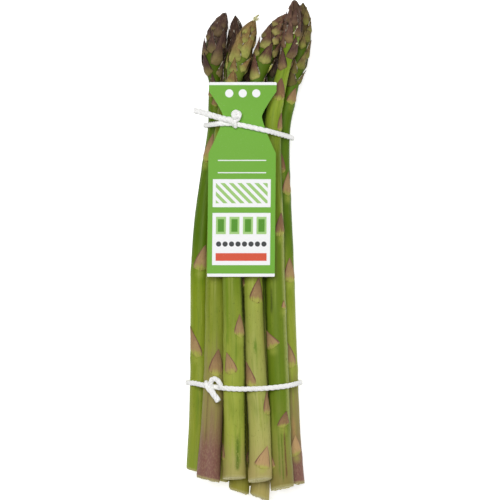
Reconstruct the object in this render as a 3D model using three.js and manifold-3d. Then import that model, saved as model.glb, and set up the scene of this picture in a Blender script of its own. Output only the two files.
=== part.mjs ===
// A tied bundle of green asparagus lying on its back: thirteen spears, two string ties and a waisted card label.
// Millimetres. The tips point to +Y, the label faces +Z, and the origin is on the table under the bundle's middle.
import * as THREE from "three";
import { mergeVertices } from "three/addons/utils/BufferGeometryUtils.js";
import Module from "manifold-3d";

const wasm = await Module();
wasm.setup();

// Driving dimensions
const GAP = 0.35; // clearance kept between neighbouring pieces
const STRING_RADIUS = 1.35;
const STRING_HALF_DEPTH = 0.62 * STRING_RADIUS; // of the loops, which are pressed flat on the spears
const STRING_FLOOR = 0.58 * STRING_HALF_DEPTH; // height of the loops' axis over the table, where they are lain on
const TABLE_CLEARANCE = STRING_FLOOR + STRING_HALF_DEPTH + GAP; // under the lowest spears
const LOWER_TIE = { y: -69.6, fall: 0, sag: 2.5 };
const UPPER_TIE = { y: 65.3, fall: 0.22, sag: 0 }; // falls towards +X, beyond its knot
const LABEL = {
  foot: -14,
  head: 86.8,
  shoulder: { low: 50, high: 82 }, // heights where the straight sides turn in to the waist
  waist: 69,
  halfWidth: 17.5,
  waistHalfWidth: 10,
  middle: -4.5,
  lean: 0.01, // sideways lean of the label's axis for each millimetre of height
  thickness: 0.6,
  corner: 1,
};
const HEAD_SCALES = { seen: 12, hidden: 6 };
const SCALE_PROUD = 0.35; // how far a scale pressed to the stem stands off it
const GOLDEN_ANGLE = Math.PI * (3 - Math.sqrt(5));
const STEM_SIDES = { seen: 10, hidden: 8 };

// Heights where each spear's sideways place is given, between its cut end and its tip
const GUIDE_HEIGHTS = [-72, -16, 26, 65, 86, 106];

// The spears on top, left to right: heights of the cut end and the tip, radius of the stem, length, widest radius
// and bluntness of the head, layer in the stack at the stem and at the head (0 lies on the table), sideways place at the
// cut end, at the guide heights and at the tip, and the stem's scale leaves as [height of the foot, degrees round
// from the top].
const TOP_SPEARS = [
  {
    name: "spear_top_1",
    ends: [-116, 124.1],
    radius: 5.0,
    head: { length: 36, radius: 6.2, blunt: 2.7 },
    layers: [1.1, 1.15],
    across: [-27, -26, -26.8, -24.5, -16, -17.6, -20, -12.7],
    scales: [[-56, -40], [-11, 40], [46, -5], [72, 25], [79, -60]],
  },
  {
    name: "spear_top_2",
    ends: [-119.5, 122.3],
    radius: 5.7,
    head: { length: 34, radius: 5.0, blunt: 2.4 },
    layers: [1.5, 1.3],
    across: [-19.2, -17.2, -16.4, -15.9, -13.8, -11.2, -7.5, -7.5],
    scales: [[-66, 5], [-30, 60]],
  },
  {
    name: "spear_top_3",
    ends: [-119, 119.5],
    radius: 5.8,
    head: { length: 35, radius: 6.0, blunt: 2.4 },
    layers: [2, 2],
    across: [-7, -7.5, -9.6, -10.1, -11.2, -11, -4.2, 2.9],
    scales: [[-110, -85], [-64.5, -30], [-45, 33], [80, 0]],
  },
  {
    name: "spear_top_4",
    ends: [-119.5, 123],
    radius: 5.8,
    head: { length: 37, radius: 5.9, blunt: 2.6 },
    layers: [2, 2],
    across: [5.5, 3.7, 1.5, 0.6, -0.4, 0.3, 9.4, 20.5],
    scales: [[-114, 30], [-85, 75], [-70.2, -35], [-25.5, 26], [-20, -80], [84, 0]],
  },
  {
    name: "spear_top_5",
    ends: [-124.4, 130],
    radius: 5.7,
    head: { length: 32, radius: 4.8, blunt: 3.4 },
    layers: [1.8, 2.2],
    across: [16.4, 14.2, 12.8, 13.2, 10.2, 14.6, 21.6, 23.4],
    scales: [[-115, -60], [-91.5, 25], [-48, -40], [-28, 60], [6.5, 40], [64.5, 60], [78, 25]],
  },
  {
    name: "spear_top_6",
    ends: [-122.7, 129],
    radius: 5.2,
    head: { length: 41, radius: 4.8, blunt: 3 },
    layers: [1.05, 1.3],
    across: [22.4, 19.2, 19, 17, 15.6, 22.2, 29.4, 27.9],
    scales: [[-106, 40], [-60.5, 25], [-15, 45], [28, 40], [40, -15], [76, 20]],
  },
];

// The spears beneath them: cut end and tip heights, radius, layer and column counted from the bundle's middle
const UNDER_SPEARS = [
  { name: "spear_middle_1", ends: [-121, 94], radius: 4.8, layer: 1, column: -1 },
  { name: "spear_middle_2", ends: [-125.6, 104], radius: 5, layer: 1, column: 0 },
  { name: "spear_middle_3", ends: [-129, 112], radius: 4.8, layer: 1, column: 1 },
  { name: "spear_bottom_1", ends: [-117, 106], radius: 5.0, layer: 0, column: -1.4 },
  { name: "spear_bottom_2", ends: [-122, 111], radius: 5.4, layer: 0, column: -0.5 },
  { name: "spear_bottom_3", ends: [-124, 108], radius: 5.3, layer: 0, column: 0.5 },
  { name: "spear_bottom_4", ends: [-119, 102], radius: 4.9, layer: 0, column: 1.4 },
];

// Middle of the bundle and the pitch of its columns at the bundle's foot, the guide heights and its top
const BUNDLE_MIDDLE = [-6, -3.6, -3.4, -3.2, -2.4, 0.5, 4.5, 6];
const COLUMN_PITCH = [10.2, 11, 10.4, 9.6, 8.4, 9.5, 12, 12];

const MATERIALS = {
  spear: new THREE.MeshStandardMaterial({ name: "spear_green", color: 0x7d9a35, roughness: 0.5 }),
  label: new THREE.MeshStandardMaterial({ name: "label_card", color: 0x7cbc4c, roughness: 0.55 }),
  string: new THREE.MeshStandardMaterial({ name: "tie_string", color: 0xf1efec, roughness: 0.9 }),
};

const radians = THREE.MathUtils.degToRad;
const mix = THREE.MathUtils.lerp;

// Value at a height, read between the values given for a rising list of heights
function between(heights, values, y) {
  let i = 0;
  while (i < heights.length - 2 && y > heights[i + 1]) i++;
  return mix(values[i], values[i + 1], (y - heights[i]) / (heights[i + 1] - heights[i]));
}

// Solids

// A closed geometry as a solid, with the triangles that collapse at poles and points left out
function toSolid(geometry) {
  const bare = geometry.clone();
  bare.deleteAttribute("normal");
  bare.deleteAttribute("uv");
  const merged = mergeVertices(bare, 1e-4);
  const corners = [];
  for (let i = 0; i < merged.index.count; i += 3) {
    const [a, b, c] = [0, 1, 2].map((k) => merged.index.getX(i + k));
    if (a !== b && b !== c && c !== a) corners.push(a, b, c);
  }
  const vertProperties = new Float32Array(merged.attributes.position.array);
  return new wasm.Manifold(new wasm.Mesh({ numProp: 3, vertProperties, triVerts: new Uint32Array(corners) }));
}

function toGeometry(solid) {
  const mesh = solid.getMesh();
  const geometry = new THREE.BufferGeometry();
  geometry.setAttribute("position", new THREE.BufferAttribute(new Float32Array(mesh.vertProperties), 3));
  geometry.setIndex(new THREE.BufferAttribute(new Uint32Array(mesh.triVerts), 1));
  return geometry;
}

const joined = (solids) => solids.reduce((whole, piece) => whole.add(piece));

// Moves every vertex of a geometry by a function that changes the point it is given
function reshape(geometry, move) {
  const place = geometry.attributes.position;
  const point = new THREE.Vector3();
  for (let i = 0; i < place.count; i++) {
    move(point.fromBufferAttribute(place, i));
    place.setXYZ(i, point.x, point.y, point.z);
  }
  geometry.computeVertexNormals();
  return geometry;
}

// Spears, first grown straight along +Y from the cut end at 0

// Radius of the bare stem, as a share of the spear's radius, at a share of its length: flared at the cut end
const stemShare = (t) => 1 + 0.08 * (1 - t) ** 12 - 0.2 * t - 0.55 * t ** 5;

// Outline of the head over its scales: swelling from the neck, then closing to the point
function headRadius(neck, { radius, blunt }, u) {
  const swollenAt = 0.36;
  if (u < swollenAt) return mix(neck, radius, Math.sin(((u / swollenAt) * Math.PI) / 2));
  const v = (u - swollenAt) / (1 - swollenAt);
  return radius * mix((1 - v ** blunt) ** 0.8, 1, 0.06);
}

// Radius that a spear needs at a distance from its cut end, its scales included
function outerRadius(spear, s, length) {
  const neckAt = length - spear.head.length;
  if (s <= neckAt) return spear.radius * stemShare(s / length) + SCALE_PROUD;
  const neck = spear.radius * stemShare(neckAt / length) + SCALE_PROUD;
  return headRadius(neck, spear.head, (s - neckAt) / spear.head.length);
}

// Smooth core of a spear under its scales
function spearCore(spear, length) {
  const coreShare = 0.8;
  const neckAt = length - spear.head.length;
  const stemRings = 8;
  const sides = spear.hidden ? STEM_SIDES.hidden : STEM_SIDES.seen;
  const headRings = [0.25, 0.5, 0.75, 0.93];
  const profile = [new THREE.Vector2(0, 0)];
  for (let i = 0; i <= stemRings; i++) {
    const s = (neckAt * i) / stemRings;
    profile.push(new THREE.Vector2(spear.radius * stemShare(s / length), s));
  }
  for (const u of headRings) {
    const s = neckAt + u * spear.head.length;
    profile.push(new THREE.Vector2(coreShare * outerRadius(spear, s, length), s));
  }
  profile.push(new THREE.Vector2(0, length));
  return toSolid(new THREE.LatheGeometry(profile, sides));
}

// One pointed scale leaf wrapped on the spear: keeled, with its root sunk in the core. Its rows go from the foot
// to the tip, each with its share of the leaf's length and of its full width; outer(s) gives the radius that its
// middle line follows and root(s) the radius that its root reaches.
function scaleLeaf({ foot, length, halfWidth, azimuth, rows, outer, root }) {
  const keelDrop = 0.3;
  const steps = rows.length - 1;
  const geometry = new THREE.BoxGeometry(2, steps, 1, 2, steps, 1);
  reshape(geometry, (p) => {
    const row = rows[Math.round(p.y + steps / 2)];
    const s = foot + length * row.along;
    const middle = outer(s);
    const angle = azimuth + (p.x * row.across * halfWidth) / middle;
    const radius = p.z > 0 ? middle - keelDrop * Math.abs(p.x) : root(s);
    p.set(radius * Math.sin(angle), s, radius * Math.cos(angle));
  });
  return toSolid(geometry);
}

// Scale leaves pressed to the stem: the given ones, and more on the hidden side by rule
function stemScales(spear, length, heightToLength) {
  const outer = (s) => spear.radius * stemShare(Math.min(s, length) / length) + SCALE_PROUD;
  const root = (s) => outer(s) - 3 * SCALE_PROUD;
  return spear.scales.map(([height, degrees], k) =>
    scaleLeaf({
      foot: heightToLength(height),
      length: 11.5 + 2 * Math.sin(5 * k + spear.radius),
      halfWidth: 0.8 * spear.radius,
      azimuth: radians(degrees),
      rows: [
        { along: 0, across: 1 },
        { along: 1, across: 0 },
      ],
      outer,
      root,
    }),
  );
}

// Overlapping scale leaves of the head, on the golden-angle spiral, shorter and narrower towards the tip
function headScales(spear, length, phase) {
  const neckAt = length - spear.head.length;
  const outer = (s) => outerRadius(spear, Math.min(s, length), length);
  const root = (s) => 0.4 * outer(s);
  const count = spear.hidden ? HEAD_SCALES.hidden : HEAD_SCALES.seen;
  return Array.from({ length: count }, (_, k) => {
    const rise = k / (count - 1);
    const foot = neckAt + mix(-0.12, 0.74, rise) * spear.head.length;
    return scaleLeaf({
      foot,
      length: Math.min(mix(15.5, 9, rise), length - foot - 0.3),
      halfWidth: mix(0.85, 0.75, rise) * Math.max(outer(foot), 0.6 * spear.head.radius),
      azimuth: phase + k * GOLDEN_ANGLE,
      rows: [
        { along: 0, across: 0.4 },
        { along: 0.3, across: 1 },
        { along: 1, across: 0 },
      ],
      outer: (s) => outer(s) - (s > foot + 1 ? 0 : 0.3),
      root,
    });
  });
}

// Bends a straight spear on to its line in the bundle; its +Z side stays turned up
function bendAlong(geometry, line) {
  const length = line.getLength();
  const up = new THREE.Vector3();
  const side = new THREE.Vector3();
  return reshape(geometry, (p) => {
    const u = THREE.MathUtils.clamp(p.y / length, 0, 1);
    const along = line.getTangentAt(u);
    up.set(0, 0, 1).addScaledVector(along, -along.z).normalize();
    side.crossVectors(along, up);
    const { x, z } = p;
    p.copy(line.getPointAt(u)).addScaledVector(side, x).addScaledVector(up, z);
  });
}

function spearMesh(spear, line, index) {
  const length = line.getLength();
  const rise = spear.ends[1] - spear.ends[0];
  const heightToLength = (y) => ((y - spear.ends[0]) / rise) * length;
  const straight = joined([
    spearCore(spear, length),
    ...stemScales(spear, length, heightToLength),
    ...headScales(spear, length, index * 2.1),
  ]);
  const mesh = new THREE.Mesh(bendAlong(toGeometry(straight), line), MATERIALS.spear);
  mesh.name = spear.name;
  return mesh;
}

// The stack: where each spear runs

// Whether a scale leaf with its foot at a height would lie under a tie
function underTie(foot) {
  const span = [-5, 15];
  return [LOWER_TIE, UPPER_TIE].some(({ y }) => y - foot > span[0] && y - foot < span[1] + 4);
}

// Scale leaves of a spear that is hidden in the stack, spiralling up its stem
function hiddenScales(ends, headLength, phase) {
  const spacing = 42;
  const heights = [];
  for (let y = ends[0] + 14; y < ends[1] - headLength - 6; y += spacing) {
    if (!underTie(y)) heights.push(y);
  }
  return heights.map((y, k) => [y, THREE.MathUtils.radToDeg(phase + k * GOLDEN_ANGLE)]);
}

function underSpear({ name, ends, radius, layer, column }, index) {
  const head = { length: 34, radius: 1.02 * radius, blunt: 2.4 };
  return {
    name,
    ends,
    radius,
    head,
    hidden: true,
    layers: [layer, layer],
    heights: [-130, ...GUIDE_HEIGHTS, 130],
    across: BUNDLE_MIDDLE.map((middle, i) => middle + column * COLUMN_PITCH[i]),
    scales: hiddenScales(ends, head.length, index),
  };
}

function topSpear(spear) {
  return { ...spear, heights: [spear.ends[0], ...GUIDE_HEIGHTS, spear.ends[1]] };
}

const SPEARS = [...TOP_SPEARS.map(topSpear), ...UNDER_SPEARS.map(underSpear)];

const STATION_STEP = 10;
const STATIONS = Array.from({ length: 27 }, (_, i) => -130 + i * STATION_STEP);

// Radius kept clear round a spear's line at a height, more where the line leans; none past its ends
function clearRadius(spear, y) {
  const [low, high] = spear.ends;
  if (y < low - STATION_STEP / 2 || y > high + STATION_STEP / 2) return 0;
  const s = THREE.MathUtils.clamp(y, low, high) - low;
  const lean = (acrossAt(spear, y + 5) - acrossAt(spear, y - 5)) / 10;
  return (outerRadius(spear, s, high - low) + 0.7 * GAP) * Math.hypot(1, lean);
}

function acrossAt(spear, y) {
  return between(spear.heights, spear.across, y);
}

// Height at which a spear of the stack would lie by its layer alone
function stackHeight(spear, y) {
  const [stemLayer, headLayer] = spear.layers;
  const layer = mix(stemLayer, headLayer, THREE.MathUtils.smoothstep(y, 60, 105));
  const radius = between([-120, 65, 86, 106, 130], [5.9, 4.6, 4.8, 6, 5], y);
  return TABLE_CLEARANCE + radius * (1 + 1.74 * layer);
}

// Pushes two places apart along the line between them; the one that is held less gives way more
function pushApart(a, b, reach, yieldOfA) {
  const gapLine = new THREE.Vector2().subVectors(b, a);
  const overlap = reach - gapLine.length();
  if (overlap <= 0) return;
  gapLine.normalize();
  a.addScaledVector(gapLine, -overlap * yieldOfA);
  b.addScaledVector(gapLine, overlap * (1 - yieldOfA));
}

// Draws a line towards its guide and makes it straighter
function easeLine(line, spear, pull, stiffness) {
  const before = line.map((p) => p.clone());
  line.forEach((p, j) => {
    p.x += pull.across * (acrossAt(spear, STATIONS[j]) - p.x);
    p.y += pull.up * (stackHeight(spear, STATIONS[j]) - p.y);
    if (j === 0 || j === STATIONS.length - 1) return;
    p.x += stiffness * ((before[j - 1].x + before[j + 1].x) / 2 - before[j].x);
    p.y += stiffness * ((before[j - 1].y + before[j + 1].y) / 2 - before[j].y);
  });
}

// Lines of the spears: drawn towards their guides, kept straight, and pushed apart until none touches another
function settledLines() {
  const rounds = 600;
  const lastRounds = 80; // pushing apart only
  const still = { across: 0, up: 0 };
  const places = SPEARS.map((spear) =>
    STATIONS.map((y) => new THREE.Vector2(acrossAt(spear, y), stackHeight(spear, y))),
  );
  const clear = SPEARS.map((spear) => STATIONS.map((y) => clearRadius(spear, y)));
  for (let round = 0; round < rounds; round++) {
    const last = round >= rounds - lastRounds;
    places.forEach((line, i) => {
      const pull = SPEARS[i].hidden ? { across: 0.1, up: 0.03 } : { across: 0.4, up: 0.02 };
      easeLine(line, SPEARS[i], last ? still : pull, last ? 0.015 : 0.12);
    });
    for (let j = 0; j < STATIONS.length; j++) {
      for (let a = 0; a < SPEARS.length; a++) {
        for (let b = a + 1; b < SPEARS.length; b++) {
          if (!clear[a][j] || !clear[b][j]) continue;
          const yieldOfA = !SPEARS[a].hidden && SPEARS[b].hidden ? 0.25 : 0.5;
          pushApart(places[a][j], places[b][j], clear[a][j] + clear[b][j], yieldOfA);
        }
        places[a][j].y = Math.max(places[a][j].y, TABLE_CLEARANCE + clear[a][j]);
      }
    }
  }
  return places;
}

const PLACES = settledLines();

function placeAt(index, y) {
  const line = PLACES[index];
  const x = between(STATIONS, line.map((p) => p.x), y);
  const z = between(STATIONS, line.map((p) => p.y), y);
  return new THREE.Vector3(x, y, z);
}

function spearLine(index) {
  const [low, high] = SPEARS[index].ends;
  const inner = STATIONS.filter((y) => y > low + STATION_STEP / 2 && y < high - STATION_STEP / 2);
  return new THREE.CatmullRomCurve3([low, ...inner, high].map((y) => placeAt(index, y)));
}

// Label

// Half the label's width at a height: straight sides, turned in to a waist where the string holds it
function labelHalfWidth(y) {
  const { low, high } = LABEL.shoulder;
  if (y <= low || y >= high) return LABEL.halfWidth;
  const edge = y < LABEL.waist ? low : high;
  const t = (y - LABEL.waist) / (edge - LABEL.waist);
  return mix(LABEL.waistHalfWidth, LABEL.halfWidth, t ** 1.25);
}

const labelMiddle = (y) => LABEL.middle + LABEL.lean * (y - LABEL.foot);

// Height of the spears' tops under the label, scales included
function topUnderLabel(y) {
  const tops = SPEARS.map((spear, i) => {
    const p = placeAt(i, y);
    const beside = Math.abs(p.x - labelMiddle(y)) > LABEL.halfWidth;
    return beside ? 0 : p.z + clearRadius(spear, y);
  });
  return Math.max(...tops);
}

// The card lies on the highest spears, bent a little where the string draws it down
const LABEL_LIFT = 0.3;
const LABEL_RESTS = [LABEL.foot, 20, 45, LABEL.waist, LABEL.head];
const labelLine = new THREE.CatmullRomCurve3(
  LABEL_RESTS.map((y) => new THREE.Vector3(0, y, topUnderLabel(y) + LABEL_LIFT)),
);

function labelHeight(y) {
  const share = (y - LABEL.foot) / (LABEL.head - LABEL.foot);
  return labelLine.getPoint(THREE.MathUtils.clamp(share, 0, 1)).z;
}

// Heights of the label's rows of vertices, closer at its rounded corners
function labelRows() {
  const { foot, head, corner } = LABEL;
  const inner = 14;
  const rows = [foot, foot + 0.3 * corner];
  for (let k = 0; k <= inner; k++) rows.push(mix(foot + corner, head - corner, k / inner));
  return [...rows, head - 0.3 * corner, head];
}

// How much a rounded corner takes off each side of the label at a height
function cornerInset(y) {
  const { foot, head, corner } = LABEL;
  const past = Math.max(0, foot + corner - y, y - (head - corner));
  return corner - Math.sqrt(Math.max(0, corner ** 2 - past ** 2));
}

function labelMesh() {
  const rows = labelRows();
  const steps = rows.length - 1;
  const geometry = new THREE.BoxGeometry(2, steps, LABEL.thickness, 2, steps, 1);
  reshape(geometry, (p) => {
    const y = rows[Math.round(p.y + steps / 2)];
    const half = labelHalfWidth(y) - cornerInset(y);
    p.set(labelMiddle(y) + p.x * half, y, labelHeight(y) + p.z + LABEL.thickness / 2);
  });
  const mesh = new THREE.Mesh(geometry, MATERIALS.label);
  mesh.name = "label_card";
  return mesh;
}

// Ties

// Outline of the points' outermost ring, anticlockwise from the lowest point
function hullOf(points) {
  const sorted = [...points].sort((a, b) => a.x - b.x || a.y - b.y);
  const turn = (o, a, b) => (a.x - o.x) * (b.y - o.y) - (a.y - o.y) * (b.x - o.x);
  const half = (list) => {
    const chain = [];
    for (const p of list) {
      while (chain.length > 1 && turn(chain.at(-2), chain.at(-1), p) <= 0) chain.pop();
      chain.push(p);
    }
    return chain.slice(0, -1);
  };
  return [...half(sorted), ...half(sorted.reverse())];
}

// Height of a tie at a place across: level up to its knot, then falling
function tieHeight(tie, x) {
  const fallsFrom = -8;
  return tie.y - tie.fall * Math.max(0, x - fallsFrom);
}

// The front run of a slack tie droops towards the cut ends between its sides
function tieSag(tie, p) {
  const half = 28;
  return p.y > 15 ? tie.sag * Math.max(0, 1 - (p.x / half) ** 2) : 0;
}

// Points round the spears, and over the label where the tie crosses it, for the string's axis to go round
function pointsInsideTie(tie, overLabel) {
  const points = [];
  SPEARS.forEach((spear, i) => {
    const y = tieHeight(tie, placeAt(i, tie.y).x);
    const p = placeAt(i, y);
    const stem = spear.radius * stemShare((y - spear.ends[0]) / (spear.ends[1] - spear.ends[0]));
    const radius = stem + 2.6 * GAP + STRING_HALF_DEPTH;
    for (let k = 0; k < 32; k++) {
      const angle = (k * Math.PI) / 16;
      points.push(new THREE.Vector2(p.x + radius * Math.cos(angle), p.z + radius * Math.sin(angle)));
    }
  });
  if (!overLabel) return points;
  for (const side of [-1, 1]) {
    const y = tieHeight(tie, labelMiddle(tie.y) + side * LABEL.waistHalfWidth);
    const x = labelMiddle(y) + side * (labelHalfWidth(y) + 1);
    points.push(new THREE.Vector2(x, labelHeight(y) + LABEL.thickness + STRING_HALF_DEPTH + 3 * GAP));
  }
  return points;
}

// Loop of string drawn tight
function tieLoop(tie, overLabel) {
  const outline = hullOf(pointsInsideTie(tie, overLabel));
  const lowest = outline.reduce((best, p, i) => (p.y < outline[best].y - 1e-6 ? i : best), 0);
  const ring = [...outline.slice(lowest), ...outline.slice(0, lowest)];
  const path = new THREE.CurvePath();
  ring.forEach((p, i) => path.add(new THREE.LineCurve(p, ring[(i + 1) % ring.length])));
  const turns = 56;
  const points = path.getSpacedPoints(turns).slice(0, turns);
  return new THREE.CatmullRomCurve3(
    points.map((p) => {
      const height = tieHeight(tie, p.x) - tieSag(tie, p);
      return new THREE.Vector3(p.x, height, p.y < STRING_FLOOR + 1.2 ? STRING_FLOOR : p.y);
    }),
    true,
  );
}

// Solid of the loop, pressed flat on the spears, and on the table where the bundle lies on it
function loopSolid(loop) {
  const [rings, sides] = [54, 7];
  const geometry = new THREE.TubeGeometry(loop, rings, STRING_RADIUS, sides, true);
  let vertex = 0;
  const pressed = (p) => {
    const axis = loop.getPointAt((Math.floor(vertex++ / (sides + 1)) % rings) / rings);
    const share = STRING_HALF_DEPTH / STRING_RADIUS;
    p.set(mix(axis.x, p.x, share), p.y, Math.max(0, mix(axis.z, p.z, share)));
  };
  return toSolid(reshape(geometry, pressed));
}

// Solid of a short run of string through the given points
function stringSolid(points, radius, steps) {
  const section = new THREE.Shape();
  const sides = 6;
  for (let k = 0; k < sides; k++) {
    const angle = (2 * Math.PI * k) / sides;
    const corner = [radius * Math.cos(angle), radius * Math.sin(angle)];
    if (k) section.lineTo(...corner);
    else section.moveTo(...corner);
  }
  section.closePath();
  const extrudePath = new THREE.CatmullRomCurve3(points);
  return toSolid(new THREE.ExtrudeGeometry(section, { steps, extrudePath, curveSegments: 1 }));
}

// Point of the loop's front run at a place across
function frontPoint(loop, x) {
  const points = loop.getSpacedPoints(400).filter((p) => p.z > 12);
  return points.reduce((best, p) => (Math.abs(p.x - x) < Math.abs(best.x - x) ? p : best));
}

// Knot parts are runs of string given as offsets from a point of the loop: on along the loop, towards the tips and
// out of the bundle. The loose tails have untwisted a little and are thicker.
const TAIL_RADIUS = 1.6;
const UPPER_KNOT = {
  x: -9.2,
  runs: [
    {
      radius: TAIL_RADIUS,
      offsets: [
        [1.8, -1.4, 0.3],
        [0.6, 0.4, 1.9],
        [-1.2, 1.8, 1.9],
        [-4, 2.2, 1.5],
        [-9, 3.7, 1],
        [-14, 5.2, 0],
        [-19.6, 6.9, -2],
      ],
    },
    {
      radius: STRING_RADIUS,
      offsets: [
        [-0.6, -0.6, 0.4],
        [0.9, 1, 1.5],
        [3.2, 2.8, 1.7],
        [3.5, 4.9, 2],
        [2, 5.8, 2.3],
        [0.6, 4.6, 2.7],
        [1.5, 3.2, 3.1],
        [2.8, 3.7, 3.2],
      ],
    },
  ],
};
const LOWER_KNOT = {
  x: -19,
  runs: [
    {
      radius: TAIL_RADIUS,
      offsets: [
        [-3.6, 1.9, 0.8],
        [-2.2, 0.7, 2],
        [-0.6, -1.2, 2.3],
        [1.9, -3.9, 2.1],
        [4.4, -7.3, 1.6],
      ],
    },
    {
      radius: STRING_RADIUS,
      offsets: [
        [-0.4, -1.2, 1],
        [-0.1, 1.4, 2.2],
        [0.9, 3.6, 2.5],
        [2.9, 4.2, 2.4],
        [4.7, 2.8, 1.9],
        [5.3, 0.8, 1.1],
        [5, -0.6, 0.3],
      ],
    },
  ],
};

function tieMesh(name, tie, knot, overLabel) {
  const loop = tieLoop(tie, overLabel);
  const at = frontPoint(loop, knot.x);
  const onward = frontPoint(loop, knot.x + 4).sub(at).setY(0).normalize();
  const tipward = new THREE.Vector3(0, 1, 0);
  const outward = new THREE.Vector3().crossVectors(onward, tipward);
  const knotFrame = new THREE.Matrix4().makeBasis(onward, tipward, outward).setPosition(at);
  const runs = knot.runs.map(({ radius, offsets }) =>
    stringSolid(offsets.map((offset) => new THREE.Vector3(...offset).applyMatrix4(knotFrame)), radius, 10),
  );
  const mesh = new THREE.Mesh(toGeometry(joined([loopSolid(loop), ...runs])), MATERIALS.string);
  mesh.name = name;
  return mesh;
}

const bundle = new THREE.Group();
bundle.name = "asparagus_bundle";
SPEARS.forEach((spear, i) => bundle.add(spearMesh(spear, spearLine(i), i)));
bundle.add(labelMesh());
bundle.add(tieMesh("tie_upper", UPPER_TIE, UPPER_KNOT, true));
bundle.add(tieMesh("tie_lower", LOWER_TIE, LOWER_KNOT, false));

// The origin goes under the middle of the bundle's box, on the table
const box = new THREE.Box3().setFromObject(bundle);
const middle = box.getCenter(new THREE.Vector3());
bundle.children.forEach((mesh) => mesh.geometry.translate(-middle.x, -middle.y, -box.min.z));

export default bundle;
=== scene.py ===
import math
from types import SimpleNamespace

import bpy
import numpy as np
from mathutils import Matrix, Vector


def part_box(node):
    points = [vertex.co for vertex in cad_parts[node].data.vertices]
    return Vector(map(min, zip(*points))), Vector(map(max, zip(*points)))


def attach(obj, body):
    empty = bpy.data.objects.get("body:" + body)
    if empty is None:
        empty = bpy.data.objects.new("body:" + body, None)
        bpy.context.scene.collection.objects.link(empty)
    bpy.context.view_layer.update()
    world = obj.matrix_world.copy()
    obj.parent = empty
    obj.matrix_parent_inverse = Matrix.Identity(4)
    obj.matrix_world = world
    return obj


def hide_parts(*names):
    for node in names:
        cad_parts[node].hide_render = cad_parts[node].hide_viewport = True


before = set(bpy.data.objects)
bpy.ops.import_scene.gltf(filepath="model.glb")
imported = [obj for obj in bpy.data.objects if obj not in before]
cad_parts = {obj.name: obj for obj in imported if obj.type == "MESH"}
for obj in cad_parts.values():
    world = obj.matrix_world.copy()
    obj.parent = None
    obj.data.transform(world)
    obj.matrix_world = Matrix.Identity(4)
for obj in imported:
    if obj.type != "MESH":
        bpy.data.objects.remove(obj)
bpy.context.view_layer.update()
mm = 0.001
goldenAngle = math.pi * (3 - math.sqrt(5))
tieHeights = dict(tie_upper=65.39, tie_lower=-69.51)  # millimetres along the bundle, from the origin


def tone(code):  # a screen colour such as 94a13f, as linear light
    parts = [int(code[i:i + 2], 16) / 255 for i in (0, 2, 4)]
    return tuple(c / 12.92 if c < 0.04045 else ((c + 0.055) / 1.055) ** 2.4 for c in parts) + (1.0,)


def lerp(a, b, t):
    return a + (b - a) * t


def bothWays(operation):  # an operator and its reflected form
    def straight(self, other):
        return self.graph.math(operation, self, other)

    def reflected(self, other):
        return self.graph.math(operation, other, self)

    return straight, reflected


class Sum:  # a socket that takes part in sums
    def __init__(self, graph, socket):
        self.graph, self.socket = graph, socket

    __add__, __radd__ = bothWays("ADD")
    __sub__, __rsub__ = bothWays("SUBTRACT")
    __mul__, __rmul__ = bothWays("MULTIPLY")
    __truediv__, __rtruediv__ = bothWays("DIVIDE")
    __pow__, __rpow__ = bothWays("POWER")


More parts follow.
